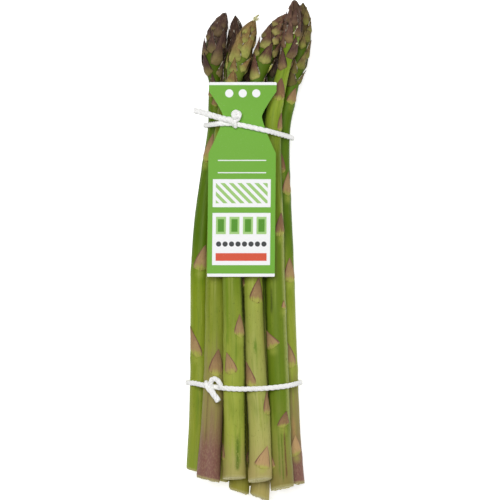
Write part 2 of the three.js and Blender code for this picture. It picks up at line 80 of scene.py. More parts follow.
class NodeGraph:  # builds shader and geometry trees
    def __init__(self, tree):
        self.tree = tree

    def find(self, sockets, key):  # by number, identifier or shown name
        if isinstance(key, int):
            return sockets[key]
        byIdentifier = [s for s in sockets if s.identifier == key]
        return (byIdentifier + [s for s in sockets if s.name == key and s.enabled])[0]

    def add(self, kind, settings=None, sockets=None, take=0):
        node = self.tree.nodes.new(kind)
        for key, value in (settings or {}).items():
            setattr(node, key, value)
        for key, value in (sockets or {}).items():
            slot = self.find(node.inputs, key)
            for one in value if isinstance(value, list) else [value]:
                if isinstance(one, Sum):
                    self.tree.links.new(one.socket, slot)
                else:
                    slot.default_value = one
        if isinstance(take, (tuple, list)):
            return [Sum(self, self.find(node.outputs, key)) for key in take]
        return Sum(self, self.find(node.outputs, take)) if len(node.outputs) else node

    def math(self, operation, *values):
        return self.add("ShaderNodeMath", {"operation": operation}, dict(enumerate(values)))

    def vector(self, operation, *values, take="Vector"):
        return self.add("ShaderNodeVectorMath", {"operation": operation}, dict(enumerate(values)), take)

    def scaled(self, vector, amount):
        values = {"Vector": vector, "Scale": amount}
        return self.add("ShaderNodeVectorMath", {"operation": "SCALE"}, values, "Vector")

    def split(self, vector):
        return self.add("ShaderNodeSeparateXYZ", None, {"Vector": vector}, ("X", "Y", "Z"))

    def joined(self, x, y, z):
        return self.add("ShaderNodeCombineXYZ", None, {"X": x, "Y": y, "Z": z})

    def ease(self, start, end, value, low=0.0, high=1.0, kind="SMOOTHSTEP"):  # smooth step from start to end
        values = {"Value": value, "From Min": start, "From Max": end, "To Min": low, "To Max": high}
        return self.add("ShaderNodeMapRange", {"interpolation_type": kind}, values)

    def ramp(self, start, end, value):  # straight and held at both ends
        return self.ease(start, end, value, kind="LINEAR")

    def blend(self, factor, a, b, how="MIX"):  # colours, as codes, values or sockets
        a, b = (tone(c) if isinstance(c, str) else c for c in (a, b))
        return self.add("ShaderNodeMix", {"data_type": "RGBA", "blend_type": how},
                        {"Factor_Float": factor, "A_Color": a, "B_Color": b}, "Result_Color")

    def wash(self, under, pattern, start, end, strength, colour):  # a colour where a pattern nears end
        return self.blend(self.ease(start, end, pattern) * strength, under, colour)

    def noise(self, vector, scale, detail=3.0, roughness=0.5):
        values = {"Vector": vector, "Scale": scale, "Detail": detail, "Roughness": roughness}
        return self.add("ShaderNodeTexNoise", None, values, "Fac")

    def bump(self, height, strength, distance):
        values = {"Strength": strength, "Distance": distance, "Height": height}
        return self.add("ShaderNodeBump", None, values)

    def mark(self, name, take="Fac"):  # a shader tree's named attribute
        return self.add("ShaderNodeAttribute", {"attribute_name": name}, None, take)

    def place(self):
        return self.add("GeometryNodeInputPosition")

    def field(self, name, kind="FLOAT"):  # a geometry tree's named attribute
        return self.add("GeometryNodeInputNamedAttribute", {"data_type": kind}, {"Name": name})

    def keep(self, geometry, name, value, kind="FLOAT"):
        return self.add("GeometryNodeStoreNamedAttribute", {"data_type": kind, "domain": "POINT"},
                        {"Geometry": geometry, "Name": name, "Value": value})

    def move(self, geometry, way, value):  # to a Position or by an Offset
        return self.add("GeometryNodeSetPosition", None, {"Geometry": geometry, way: value})


def startTree(name, inputs):
    tree = bpy.data.node_groups.new(name, "GeometryNodeTree")
    tree.interface.new_socket("Geometry", in_out="INPUT", socket_type="NodeSocketGeometry")
    for title, kind in inputs:
        tree.interface.new_socket(title, in_out="INPUT", socket_type="NodeSocket" + kind)
    tree.interface.new_socket("Geometry", in_out="OUTPUT", socket_type="NodeSocketGeometry")
    graph = NodeGraph(tree)
    titles = ["Geometry"] + [title for title, kind in inputs]
    given = dict(zip(titles, graph.add("NodeGroupInput", None, None, titles)))
    return tree, graph, given


def endTree(graph, geometry, skin):
    whole = graph.add("GeometryNodeRealizeInstances", None, {"Geometry": geometry})
    whole = graph.add("GeometryNodeSetShadeSmooth", None, {"Geometry": whole})
    whole = graph.add("GeometryNodeSetMaterial", None, {"Geometry": whole, "Material": skin})
    graph.add("NodeGroupOutput", None, {"Geometry": whole})


def startMaterial(name, roughness, shine=0.5):
    material = bpy.data.materials.new(name)
    material.use_nodes = True
    graph = NodeGraph(material.node_tree)
    shader = material.node_tree.nodes["Principled BSDF"]
    shader.inputs["Roughness"].default_value = roughness
    shader.inputs["Specular IOR Level"].default_value = shine
    return material, graph, shader


def feed(graph, shader, **links):
    for name, value in links.items():
        graph.tree.links.new(value.socket, shader.inputs[name.replace("_", " ")])


def newObject(name, data):
    thing = bpy.data.objects.new(name, data)
    bpy.context.scene.collection.objects.link(thing)
    return thing


def lineObject(name, points, edges, marks):  # vertices and edges that carry named numbers
    mesh = bpy.data.meshes.new(name)
    mesh.from_pydata([tuple(p) for p in points], edges, [])
    for key, values in marks.items():
        values = np.asarray(values, float)
        kind, slot = ("FLOAT_VECTOR", "vector") if values.ndim == 2 else ("FLOAT", "value")
        mesh.attributes.new(key, kind, "POINT").data.foreach_set(slot, values.ravel())
    return newObject(name, mesh)


def grown(maker, tree, values, name):  # runs a tree on an object and keeps the result as a plain mesh
    modifier = maker.modifiers.new("grown", "NODES")
    modifier.node_group = tree
    for item in tree.interface.items_tree:
        if item.in_out == "INPUT" and item.name in values:
            modifier[item.identifier] = values[item.name]
    bpy.context.view_layer.update()
    ready = maker.evaluated_get(bpy.context.evaluated_depsgraph_get())
    piece = newObject(name, bpy.data.meshes.new_from_object(ready))
    bpy.data.objects.remove(maker)
    return piece


def dress(piece, slotName, *nodes):
    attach(piece, "root")
    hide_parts(*nodes)


# Spears, in millimetres and degrees: the stem's radius, the head's length, widest radius and bluntness, and
# the cut end's slopes across and upwards and how ragged it is. Scale leaves of the stem: distance of the foot
# from the cut end, degrees round from the top, then length, half width, lean of the tip, slant of the foot
# and tint from brown to pale, or a rule for all these. Bracts of the head: the same, with the foot's distance
# below the tip, and how pale the foot is in place of the tint. Buds: distance below the tip and degrees
# round. Tuft: how many shoots open at the tip.
spears = {
    "spear_top_1": dict(
        radius=5.0, head=(36, 6.2, 2.7), cut=(-0.2, 0.0, 0.5),
        scales=[[59.5, -20, 16.5, 3.8, -50, -1.3, 0.6], [104.5, 5, 14, 4.2, 25, 0, 0.6],
                [161.5, -35, 16, 3.3, 30, 0, 0.4], [191.5, 5, 6, 2.3, -5, 0, 0.3],
                [196.5, -40, 6, 2.3, -5, 0, 0.1]],
        bracts=[[34, -45, 10.5, 3.4, 0, 0.8, 1], [29, 20, 19.5, 3.5, 20, 0.5, 0.7],
                [35, 60, 11.5, 3.3, 20, 0, 0.75], [22.5, -10, 11, 2.7, -20, 0, 0.6],
                [24, -50, 7.5, 2.3, -15, 0, 0.6], [39.5, -15, 6, 1.6, 5, 0, 0.3],
                [13.5, 5, 11.5, 2.7, -10, 0, 0.25], [16.5, -45, 7, 1.9, -10, 0, 0.5],
                [19.5, 50, 8.5, 2.1, 0, 0, 0.4], [11.5, -35, 6.5, 1.9, 5, 0, 0.6],
                [8.5, 30, 7.5, 1.8, -5, 0, 0.2]]),
    "spear_top_2": dict(
        radius=5.7, head=(34, 5.0, 2.4), cut=(-0.18, 0.0, 2.2),
        scales=[[53.5, 10, 14.5, 4.4, 10, -0.6, 0.35], [89.5, 120]],
        bracts=[[22, -20, 12, 2.6, 5, 0, 0.3], [16, 15, 12, 2.4, -5, 0, 0.2], [12, -40, 9, 2, 5, 0, 0.2],
                [27, 30, 12, 2.6, -10, 0, 0.3], [9, 0, 8, 1.8, 5, 0, 0.1]]),
    "spear_top_3": dict(
        radius=5.8, head=(35, 6.0, 2.4), cut=(0.05, 0.26, 0.5), tuft=10,
        scales=[[9, -80, 9, 2.4, 0, 0, 0.6], [54.5, -15, 11.5, 3.6, -25, 0.3, 0.65],
                [73, 40, 12.5, 3.7, -5, -0.4, 0.45], [199, 0]],
        bracts=[[26, -25, 16.5, 3.5, -30, 0, 0.8], [21.5, 15, 15.5, 3.2, 35, 0, 0.9],
                [31, -15, 7.5, 2.3, -5, 0, 1], [36.5, -20, 7, 2.9, 10, 0, 0.7],
                [29, 35, 8.5, 2.5, 30, 0, 0.9], [19.5, -15, 9.5, 1.6, -10, 0, 0.9],
                [15.5, -5, 9.5, 2.1, 5, 0, 0.9], [10.5, -25, 8.5, 1.5, 10, 0, 0.8],
                [7.5, 20, 7, 1.6, -10, 0, 0.6], [12.5, 35, 8, 1.7, 0, 0, 0.7]]),
    "spear_top_4": dict(
        radius=5.8, head=(37, 5.9, 2.6), cut=(0.12, 0.26, 0.6),
        scales=[[5.5, 10, 12.5, 4.5, 30, -1.3, 1], [33, 60, 13, 3.4, 0, 0, 0.4],
                [47.5, -35, 14.5, 3.8, -20, 0, 0.4], [92, 20, 13.5, 4.1, 15, -0.9, 0.35],
                [99.5, -80, 10, 2.6, 0, 0, 0.5]],
        bracts=[[39.5, -40, 12, 4, -20, 0, 0.9], [30.5, 10, 11, 3.6, 0, 0.4, 1],
                [23, -15, 11, 3.5, -20, 0.4, 0.85], [14, 5, 9, 2.5, 0, 0, 0.5],
                [19, 25, 9, 2.2, 10, 0, 0.6], [18, -55, 8, 2.8, 5, 0, 0.4],
                [10, -35, 6.5, 2.4, 0, 0, 0.4], [28, -60, 9.5, 2.8, -10, 0, 0.6],
                [25, 60, 11, 2.7, 0, 0, 0.5], [15, 60, 8, 2.4, 0, 0, 0.4]]),
    "spear_top_5": dict(
        radius=5.7, head=(32, 4.8, 3.4), cut=(0.14, 0.14, 1.4),
        scales=[[10.5, -55, 7, 2.5, 0, 0, 0.9], [31.5, 20, 9, 3.6, 20, 0.9, 0.25],
                [73, -25, 9.5, 4.2, -40, 1.7, 0.45], [93, 50, 5, 1.7, 0, 0, 0.8], [131, 40],
                [202.5, 15, 12.5, 4.1, -15, 0.2, 0.1], [186, 75, 10.5, 3.4, -15, 0.4, 0.3]],
        bracts=[[23.5, -20, 11.5, 2.7, 0, 0, 0.6], [31, 45, 10.5, 3.6, -25, 0, 0.5],
                [19.5, 35, 7.5, 2.2, 10, 0, 0.5], [38, -25, 11, 2.8, -25, 0.3, 0.7],
                [14.5, 0, 8, 2.2, 10, 0, 0.15], [13.5, -40, 8, 2.4, 10, 0, 0.15],
                [27, -65, 12, 2.8, 5, 0, 0.2], [18, -70, 10, 2.6, 5, 0, 0.2]],
        buds=[[18.5, 5], [15.5, 20], [23, 35]]),
    "spear_top_6": dict(
        radius=5.2, head=(41, 4.8, 3.0), cut=(0.0, 0.0, 2.2),
        scales=[[14.5, 25, 11, 3.8, 0, 1.2, 1], [60.5, 15, 16, 3.9, -30, 0, 0.5],
                [105.5, 30, 13, 3.8, 0, 0, 0.6], [150.5, 40], [162.5, -15],
                [199.5, 30, 9.5, 3.4, 0, 0.4, 0.35]],
        bracts=[[44.5, -20, 11, 3, -30, 0.5, 0.3], [42.5, 70, 7.5, 2.7, 0, 0, 1],
                [34.5, 20, 9, 2.7, 15, 0, 0.7], [24.5, 0, 9, 2.2, 15, 0, 0.8],
                [20.5, 30, 9.5, 2.5, 35, 0, 0.7], [12, 15, 9, 2.2, 40, 0, 0.6],
                [16, 55, 7.5, 2.2, 20, 0, 0.6], [38.5, -20, 8.5, 2.2, -10, 0, 0.5],
                [29, 50, 9, 2.4, 10, 0, 0.7]]),
    "spear_middle_1": dict(radius=4.8, cut=(-0.15, 0.0, 0.8)),
    "spear_middle_2": dict(radius=5.0, cut=(-0.25, 0.0, 1.8)),
    "spear_middle_3": dict(radius=4.8, cut=(-0.3, 0.1, 2.2)),
    "spear_bottom_1": dict(radius=5.0, cut=(0.1, 0.0, 0.6)),
    "spear_bottom_2": dict(radius=5.4, cut=(-0.1, 0.05, 0.6)),
    "spear_bottom_3": dict(radius=5.3, cut=(0.15, 0.0, 0.6)),
    "spear_bottom_4": dict(radius=4.9, cut=(-0.05, 0.1, 0.6)),
}
spearShape = dict(
    readFrom=3.0, readTo=2.0, readStep=4.0, smoothings=3,  # of the solid's sections, inwards from its ends
    stepsFrom=1.2, stepsTo=1.4, step=2.0, scaleProud=0.35, coreShare=0.8, swollenAt=0.36,
    waver=0.014, waverLength=15, nodeSwell=0.22, swellBelow=0.5, swellReach=2.6, fadeToHead=12, fadeFromCut=4,
    headLeaves=28, hiddenHeadLeaves=14, highFrom=165,  # scale leaves from here on belong with the head
    hiddenHead=(34, 1.02, 2.4),  # length, share of the stem's radius, bluntness
    hiddenScales=dict(first=14.0, apart=42, belowTip=40, tieBefore=5, tieAfter=19),
    stemSides=40, leafColumns=11, leafRows=15,
    leafThickness=0.5 * mm, keelDrop=0.45 * mm, unevenness=0.3 * mm,
    # distances from the cut end and below the tip, with shares of the radius there
    rim=[(0.0, 0.0), (0.03, 0.45), (0.06, 0.8), (0.12, 0.93), (0.35, 0.985)],
    tip=[(1.2, 0.82), (0.6, 0.62), (0.2, 0.36), (0.0, 0.0)],
    collar=dict(below=3.5, above=0.5, half=1.8, colour="a9b154", strength=0.6, faint=0.25),
)
# Leaves: how wide, deep, sunk and proud the foot is, where the leaf is widest, how pointed, lift of the tip
leafUsual = dict(footSink=0.0, footSlant=0.0, onHead=1.0, paleFoot=1.0, tint=0.5, ragged=0.5)
leafKinds = {
    "scale": dict(footWidth=0.9, footDepth=0.7, footSink=0.4, footProud=0.25, belly=0.2, pointed=1.5,
                  tipLift=0.1, onHead=0.0),
    "bract": dict(footWidth=0.98, footDepth=1.1, footProud=0.55, belly=0.14, pointed=1.35, tipLift=0.85,
                  ragged=0.45),
    "head scale": dict(footWidth=0.72, footDepth=1.3, footProud=0.4, belly=0.22, pointed=1.35),
    "bud": dict(length=1.5, halfWidth=0.42, footWidth=0.9, footVee=0.3, footDepth=0.8, footProud=1.1,
                belly=0.4, pointed=1.6, tipLift=0.2, skew=0.1, tint=1.0, ragged=0.3, leafSeed=0.2),
    "shoot": dict(halfWidth=1.5, footWidth=0.8, footVee=0.4, footDepth=0.5, footSink=0.2, footProud=0.0,
                  belly=0.3, pointed=1.2, skew=0.3, tint=1.0, ragged=0.2, leafSeed=0.9),
}
leafLengths = ("foot", "length", "halfWidth", "footVee", "footDepth", "footSink", "footProud", "footSlant",
               "tipLift")
# Colours of each spear: stem at the cut end, low, half way, high and at the neck, pale fibres in it, tops and
# feet of the head's scales and two streaks on them. Turn and rise are the shares of the length over which
# half way and high take over, purple is how far up the foot's purple reaches. Marks are streaks, bruises and
# painted shade in the gaps between stems: degrees round from the top, from, to, half width, colour, strength.
# What a spear doesn't name comes from underColours.
spearColours = {
    "spear_top_1": dict(
        base="889a3a", low="8b9632", half="7d931c", rise=(0.36, 0.5), high="52700f",
        scale="5c4540", foot="988a58",
        marks=[(-10, 20, 48, 0.5, "6f8a1c", 0.5), (0, 46, 57, 1.5, "9faa4c", 0.6),
               # painted shade: the dark mark at 72 degrees, in the gap beside the next stem
               (72, 62, 125, 1.0, "33480e", 0.7)]),
    "spear_top_2": dict(
        base="80585a", low="969f42", half="7a8726", high="40500f", scale="43312a", foot="55452f", purple=60,
        marks=[(-30, 20, 45, 0.5, "6d5a40", 0.5)]),
    "spear_top_3": dict(
        base="ae9f6e", low="a3ac4c", half="6e841f", high="55781a", neck="6a7a30",
        scale="91744a", foot="a3a858", streak=("a39c5c", "82573a"),
        marks=[(15, 4, 22, 0.85, "4f6c16", 0.85), (27, 8, 26, 0.5, "6f8a26", 0.6),
               (4, 12, 30, 0.4, "7c9230", 0.5), (-35, 70, 110, 0.7, "6f8c22", 0.5),
               # painted shade: the dark marks at 76 and 72 degrees, in the gap beside the next stem
               (76, 6, 125, 1.2, "26300e", 0.9), (72, 82, 130, 1.5, "1c240a", 0.9)]),
    "spear_top_4": dict(
        base="b3a070", low="afae68", half="94a33e", high="50721a", neck="4f6414",
        scale="745245", foot="b6b666",
        marks=[(4, 66, 72, 0.8, "5f8018", 0.85), (10, 26, 50, 0.4, "8f9a3c", 0.5),
               # painted shade: the dark marks at -78, -74 and 80 degrees, in the gaps beside the next stems
               (-78, 6, 125, 1.1, "26300e", 0.9), (-74, 82, 130, 1.3, "1c240a", 0.9),
               (80, 88, 125, 0.9, "2f3c0e", 0.8)]),
    "spear_top_5": dict(
        base="8e7a4e", low="8a9044", half="6a7f20", turn=(0.08, 0.24), fibre="a0ac4c", rise=(0.66, 0.78),
        high="8da336", neck="667f1c", scale="6a4e46", foot="9a8656",
        marks=[(25, 5, 31, 0.35, "6b4a34", 0.95), (8, 3, 30, 0.3, "566e1a", 0.8),
               (-8, 6, 28, 0.35, "5f7a1c", 0.7), (62, 35, 150, 1.3, "a0a760", 0.85),
               # painted shade: the dark mark at -74 degrees, in the gap beside the next stem
               (-25, 91, 104, 0.6, "42501a", 0.8), (-74, 74, 135, 1.3, "2a380c", 0.8)]),
    "spear_top_6": dict(
        base="84605a", low="97a142", half="88992f", rise=(0.41, 0.53), high="527012", neck="4c6216",
        scale="786742", foot="868c3e", purple=48, streak=("9a9858", "4f3b2c"),
        marks=[(20, 24, 34, 0.8, "b08c62", 0.7)]),
    # painted shade: the middle spears lie in the hollow under the others, so their high and neck colours, and
    # the third one's scale and foot, are darkened for the shade there
    "spear_middle_1": dict(base="aaa65c", high="33450f", neck="262f0a"),
    "spear_middle_2": dict(base="928c3e", low="88873a", high="33450f", neck="262f0a"),
    "spear_middle_3": dict(
        base="b3a46a", low="a1965c", high="2a380c", neck="1e2608", scale="44312c", foot="4c4a26"),
}
underColours = dict(
    base="8d8a42", low="87882f", half="66801f", high="4a6616", neck="435310", scale="5a433c", foot="85823f",
    turn=(0.2, 0.44), rise=(0.7, 0.86), fibre="b4b765", streak=("8c6d55", "2f221f"), purple=0, marks=[],
)
# core is painted shade for the head's core between its bracts; the crevice colour is painted shade at the
# bracts' edges and tips
skinColours = dict(
    deepStreak="57761a", cloud="5c7c18", thread="5f6f24", speck="46561a", tawny="93835a", purple="84595a",
    purpleThread="5f4044", purpleSpeck="a08a72", rim="bdb585", core="2c2416", pith="cfc79a", strand="9c9358",
    paintedCreviceShade="20170f", margin="d6cfc2", bud="d0cd9e", dark="d2d2d2", full="ffffff", dryBrown="85664c",
    dryTan="a98c68", dryPale="bd9b76", dryVein="7d5f48", dryLight="b9a072", dryShade="7f5e4a",
    dryTop="75504c", dryFoot="bdba66", dryEdge="74484c", scar="5a4326",
)


def sectionMiddle(corners, y):  # middle of a closed shell's section at a height
    side = corners[:, :, 1] > y
    cut = corners[side.any(axis=1) & ~side.all(axis=1)]
    total, moment = 0.0, np.zeros(2)
    for triangle in cut:
        start = end = None
        for a, b in ((0, 1), (1, 2), (2, 0)):
            p, q = triangle[a], triangle[b]
            if (p[1] > y) == (q[1] > y):
                continue
            crossing = (p + (q - p) * (y - p[1]) / (q[1] - p[1]))[[0, 2]]
            if p[1] > y:
                end = crossing
            else:
                start = crossing
        turn = start[0] * end[1] - start[1] * end[0]
        total += turn
        moment += (start + end) * turn
    return moment / (3 * total)


def runAlong(points):  # distance along a line at each of its points
    return np.concatenate([[0], np.cumsum(np.linalg.norm(np.diff(points, axis=0), axis=1))])


def spearLine(node):  # the spear's middle line, read from its solid, as points at even steps
    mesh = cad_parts[node].data
    place = np.empty(len(mesh.vertices) * 3)
    mesh.vertices.foreach_get("co", place)
    place = place.reshape(-1, 3)
    index = np.empty(len(mesh.polygons) * 3, int)
    mesh.polygons.foreach_get("vertices", index)
    corners = place[index.reshape(-1, 3)]
    low, tip = place[:, 1].min(), place[place[:, 1].argmax()]
    s = spearShape
    heights = np.arange(low + s["readFrom"] * mm, tip[1] - s["readTo"] * mm, s["readStep"] * mm)
    middles = np.array([sectionMiddle(corners, y) for y in heights])
    for turn in range(s["smoothings"]):
        middles[1:-1] = (middles[:-2] + 2 * middles[1:-1] + middles[2:]) / 4
    lean = (middles[0] - middles[2]) / (heights[0] - heights[2])
    foot = low + spears[node]["radius"] * mm * np.hypot(*lean)
    first = middles[0] + lean * (foot - heights[0])
    between = [[x, y, z] for (x, z), y in zip(middles, heights)]
    line = np.array([[first[0], foot, first[1]]] + between + [list(tip)])
    return line, runAlong(line)


def stemShare(t):  # flared at the cut end, then tapering, more towards the tip
    return 1 + 0.08 * (1 - t) ** 12 - 0.2 * t - 0.55 * t ** 5


def headOutline(neck, widest, blunt, u):
    swollen = spearShape["swollenAt"]
    v = np.clip((u - swollen) / (1 - swollen), 0, 1)
    rising = lerp(neck, widest, np.sin(np.clip(u / swollen, 0, 1) * math.pi / 2))
    closing = widest * lerp((1 - v ** blunt) ** 0.8, 1, 0.06)
    return np.where(u < swollen, rising, closing)


def outerRadius(spear, s, length):  # over the scales, at distances from the cut end
    headLength, widest, blunt = spear["head"]
    neckAt = length - headLength
    proud = spearShape["scaleProud"]
    neck = spear["radius"] * stemShare(neckAt / length) + proud
    stem = spear["radius"] * stemShare(s / length) + proud
    return np.where(s <= neckAt, stem, headOutline(neck, widest, blunt, (s - neckAt) / headLength))


def innerRadius(spear, s, length):  # the smooth stem and the core of the head
    headLength = spear["head"][0]
    neckAt = length - headLength
    outer = outerRadius(spear, s, length)
    bare = outer - spearShape["scaleProud"]
    share = np.clip((s - neckAt) / (0.5 * headLength), 0, 1)
    return np.where(s <= neckAt, bare, lerp(bare, spearShape["coreShare"] * outer, share))


def leafList(spear, length, index, hidden):
    headLength, widest = spear["head"][:2]
    leaves = []

    def add(kind, foot, azimuth, **own):
        leaves.append({**leafUsual, **leafKinds[kind], "foot": foot, "azimuth": azimuth, **own})

    def wave(pace, k):  # a small difference from leaf to leaf
        return math.sin(pace * k + index)

    def seed(pace, k):
        return (index * pace + k * 0.618) % 1

    for k, (foot, degrees, *shape) in enumerate(spear["scales"]):
        high = foot > spearShape["highFrom"] and not shape
        usual = [11.5 + 2 * math.sin(5 * k + spear["radius"]), (0.76 if high else 0.64) * spear["radius"],
                 8 * wave(7, k), 0.4 * wave(4, k), 0.5 + 0.4 * wave(11, k)]
        long, half, lean, slant, tint = shape or usual
        add("scale", foot, math.radians(degrees), length=long, halfWidth=half, skew=math.radians(lean),
            footVee=0.9 + 0.5 * wave(3, k), footSlant=slant, tint=tint, leafSeed=seed(0.37, k),
            **(dict(footSink=0.2, onHead=1.0) if high else {}))
    for k, (below, degrees, long, half, lean, slant, pale) in enumerate(spear.get("bracts", [])):
        square = half * math.radians(lean) * widest / long  # the foot lies square to a leaning bract
        add("bract", length - below, math.radians(degrees), length=1.12 * long, halfWidth=half,
            skew=math.radians(lean), footVee=1.3 + 0.5 * wave(3, k), footSlant=slant - square, paleFoot=pale,
            leafSeed=seed(0.31, k))
    count = spearShape["hiddenHeadLeaves" if hidden else "headLeaves"]
    for k in range(count):
        rise = k / (count - 1)
        turn = index * 2.1 + k * goldenAngle
        if "bracts" in spear and rise < 0.86 and math.cos(turn) > -0.15:
            continue  # the listed bracts cover the front
        foot = length - headLength + lerp(-0.14, 0.84, rise ** 0.95) * headLength
        wobble = wave(9.1, k)
        add("head scale", foot, turn,
            length=min(lerp(15, 12, rise) * (1 + 0.15 * wobble), length - foot + 0.4),
            halfWidth=lerp(0.62, 0.38, rise) * widest, skew=0.16 * math.sin(3.7 * k),
            footVee=lerp(2.4, 1.6, rise) * (1 + 0.35 * wobble), footSlant=0.7 * wave(5.3, k),
            tipLift=lerp(0.6, 0.1, rise) * (1 + 0.7 * wobble),
            paleFoot=min(1, max(0, lerp(1.0, -0.6, rise) + 0.3 * wave(6.1, k))), leafSeed=seed(0.23, k))
    for below, degrees in spear.get("buds", []):  # small and pale, between the bracts
        add("bud", length - below, math.radians(degrees))
    for k in range(spear.get("tuft", 0)):  # small shoots that open at the tip
        add("shoot", length - 2.6 + 0.15 * k, 0.6 + 1.2 * math.sin(5 * k), length=4.4 + math.sin(4 * k),
            tipLift=1.8 + 1.6 * math.sin(7 * k))
    return leaves


def growStem(g, given, straight):  # rings along the straight line, with a shallow unevenness
    ring = g.add("GeometryNodeCurvePrimitiveCircle", None, {"Resolution": given["Stem sides"], "Radius": 1.0})
    stem = g.add("GeometryNodeCurveToMesh", None, {
        "Curve": straight, "Profile Curve": ring, "Scale": g.field("stemRadius"), "Fill Caps": False})
    stem = g.add("GeometryNodeMergeByDistance", None, {"Geometry": stem, "Distance": 2e-6})
    x, y, z = g.split(g.place())
    swell = g.noise(g.joined(x, y * 0.22, z), 260.0, 2.0) - 0.5
    grain = g.noise(g.joined(x, y * 0.05, z), 900.0, 1.0) - 0.5
    radial = g.vector("NORMALIZE", g.joined(x, 0.0, z))
    return g.move(stem, "Offset", g.scaled(radial, (swell * 1.6 + grain * 0.7) * given["Unevenness"]))


def growLeaves(g, given, straight):  # a thin slab on each marked point, wrapped round the outline
    leaf = g.add("GeometryNodeMeshCube", None, {
        "Size": (2.0, 1.0, 1.0), "Vertices X": given["Leaf columns"], "Vertices Y": given["Leaf rows"],
        "Vertices Z": 2})
    x, y, z = g.split(g.place())
    leaf = g.keep(leaf, "leafAcross", x)
    leaf = g.keep(leaf, "leafAlong", y + 0.5)
    leaf = g.keep(leaf, "leafFace", z + 0.5)
    marked = {"Mesh": given["Geometry"], "Selection": g.field("isLeaf")}
    spots = g.add("GeometryNodeMeshToPoints", None, marked)
    leaves = g.add("GeometryNodeInstanceOnPoints", None, {"Points": spots, "Instance": leaf})
    leaves = g.add("GeometryNodeRealizeInstances", None, {"Geometry": leaves})
    u, v, face = g.field("leafAcross"), g.field("leafAlong"), g.field("leafFace")
    belly, edge = g.field("belly"), g.math("ABSOLUTE", u)
    widening = lerp(g.field("footWidth"), 1.0, g.ease(0.0, belly, v))
    past = g.ramp(belly, 1.0, v)
    width = widening * (1.0 - past ** g.field("pointed")) * 0.97 + 0.03
    torn = g.noise(g.joined(u * 1.7, v * 0.6, g.field("leafSeed") * 50.0), 2.2, 3.0) - 0.5
    torn = torn * g.field("ragged")
    at = g.field("foot") + g.field("length") * v + g.field("footVee") * edge * (1.0 - v) ** 3.0
    at = at + (g.field("footSlant") * u + torn * 2.6 * mm) * (1.0 - v) ** 2.0
    envelope = g.add("GeometryNodeSampleCurve", {"mode": "LENGTH"},
                     {"Curves": straight, "Value": g.field("envelope"), "Length": at})
    angle = g.field("azimuth") + g.field("skew") * v ** 1.5 + torn * 0.14
    angle = angle + u * width * g.field("halfWidth") / g.math("MAXIMUM", envelope, 1.6 * mm)
    hug = given["Keel drop"] * u * u * width * g.ease(0.0, 0.5, v, 0.35, 1.0)
    radius = envelope + g.field("tipLift") * v * v * v - hug - g.field("footSink") * g.ease(0.24, 0.0, v)
    radius = radius + torn * 0.5 * mm + g.field("footProud") * g.ease(0.0, 0.14, v) * g.ease(0.95, 0.25, v)
    slab = given["Leaf thickness"] * (1.2 - 0.7 * edge ** 2.0) * (1.1 - 0.7 * v)
    slab = slab + g.field("footDepth") * (1.0 - g.ease(0.0, 0.3, v))
    radius = radius - (1.0 - face) * slab
    wrapped = g.joined(radius * g.math("SINE", angle), at, radius * g.math("COSINE", angle))
    return g.move(leaves, "Position", wrapped)


def bendSpear(g, given, straight, whole):  # cut end sloped and frayed, all bent on to the spear's own line
    length = g.add("GeometryNodeCurveLength", None, {"Curve": straight})
    x, y, z = g.split(g.place())
    fray = (g.noise(g.joined(x, 0.0, z), 700.0, 3.0) - 0.5) * given["Cut raggedness"]
    slope = x * given["Cut slope across"] + z * given["Cut slope up"]
    y = y + slope * g.ease(9 * mm, 0.0, y) + fray * g.ease(2.5 * mm, 0.0, y) * 2.0 * mm
    bent = g.move(straight, "Position", g.field("lineAt", "FLOAT_VECTOR"))
    bent = g.add("GeometryNodeSetCurveNormal", {"mode": "Z_UP"}, {"Curve": bent})  # the +Z side turned up
    middle, along, sideways = g.add("GeometryNodeSampleCurve", {"mode": "FACTOR"}, {
        "Curves": bent, "Factor": y / length}, ("Position", "Tangent", "Normal"))
    upward = g.vector("CROSS_PRODUCT", sideways, along)
    beyond = g.math("MAXIMUM", y - length, 0.0) + g.math("MINIMUM", y, 0.0)
    middle = g.vector("ADD", middle, g.scaled(along, beyond))
    moved = g.vector("ADD", middle, g.vector("ADD", g.scaled(sideways, x), g.scaled(upward, z)))
    return g.move(whole, "Position", moved)


def makeSpearTree():
    tree, g, given = startTree("spear grown straight and bent", [
        ("Stem sides", "Int"), ("Leaf columns", "Int"), ("Leaf rows", "Int"), ("Leaf thickness", "Float"),
        ("Keel drop", "Float"), ("Unevenness", "Float"), ("Cut slope across", "Float"),
        ("Cut slope up", "Float"), ("Cut raggedness", "Float"), ("Skin", "Material")])
    straight = g.add("GeometryNodeMeshToCurve", None, {"Mesh": given["Geometry"]})
    parts = [growStem(g, given, straight), growLeaves(g, given, straight)]
    whole = g.add("GeometryNodeJoinGeometry", None, {"Geometry": parts})
    whole = g.keep(whole, "grown", g.place(), "FLOAT_VECTOR")
    endTree(g, bendSpear(g, given, straight, whole), given["Skin"])
    return tree


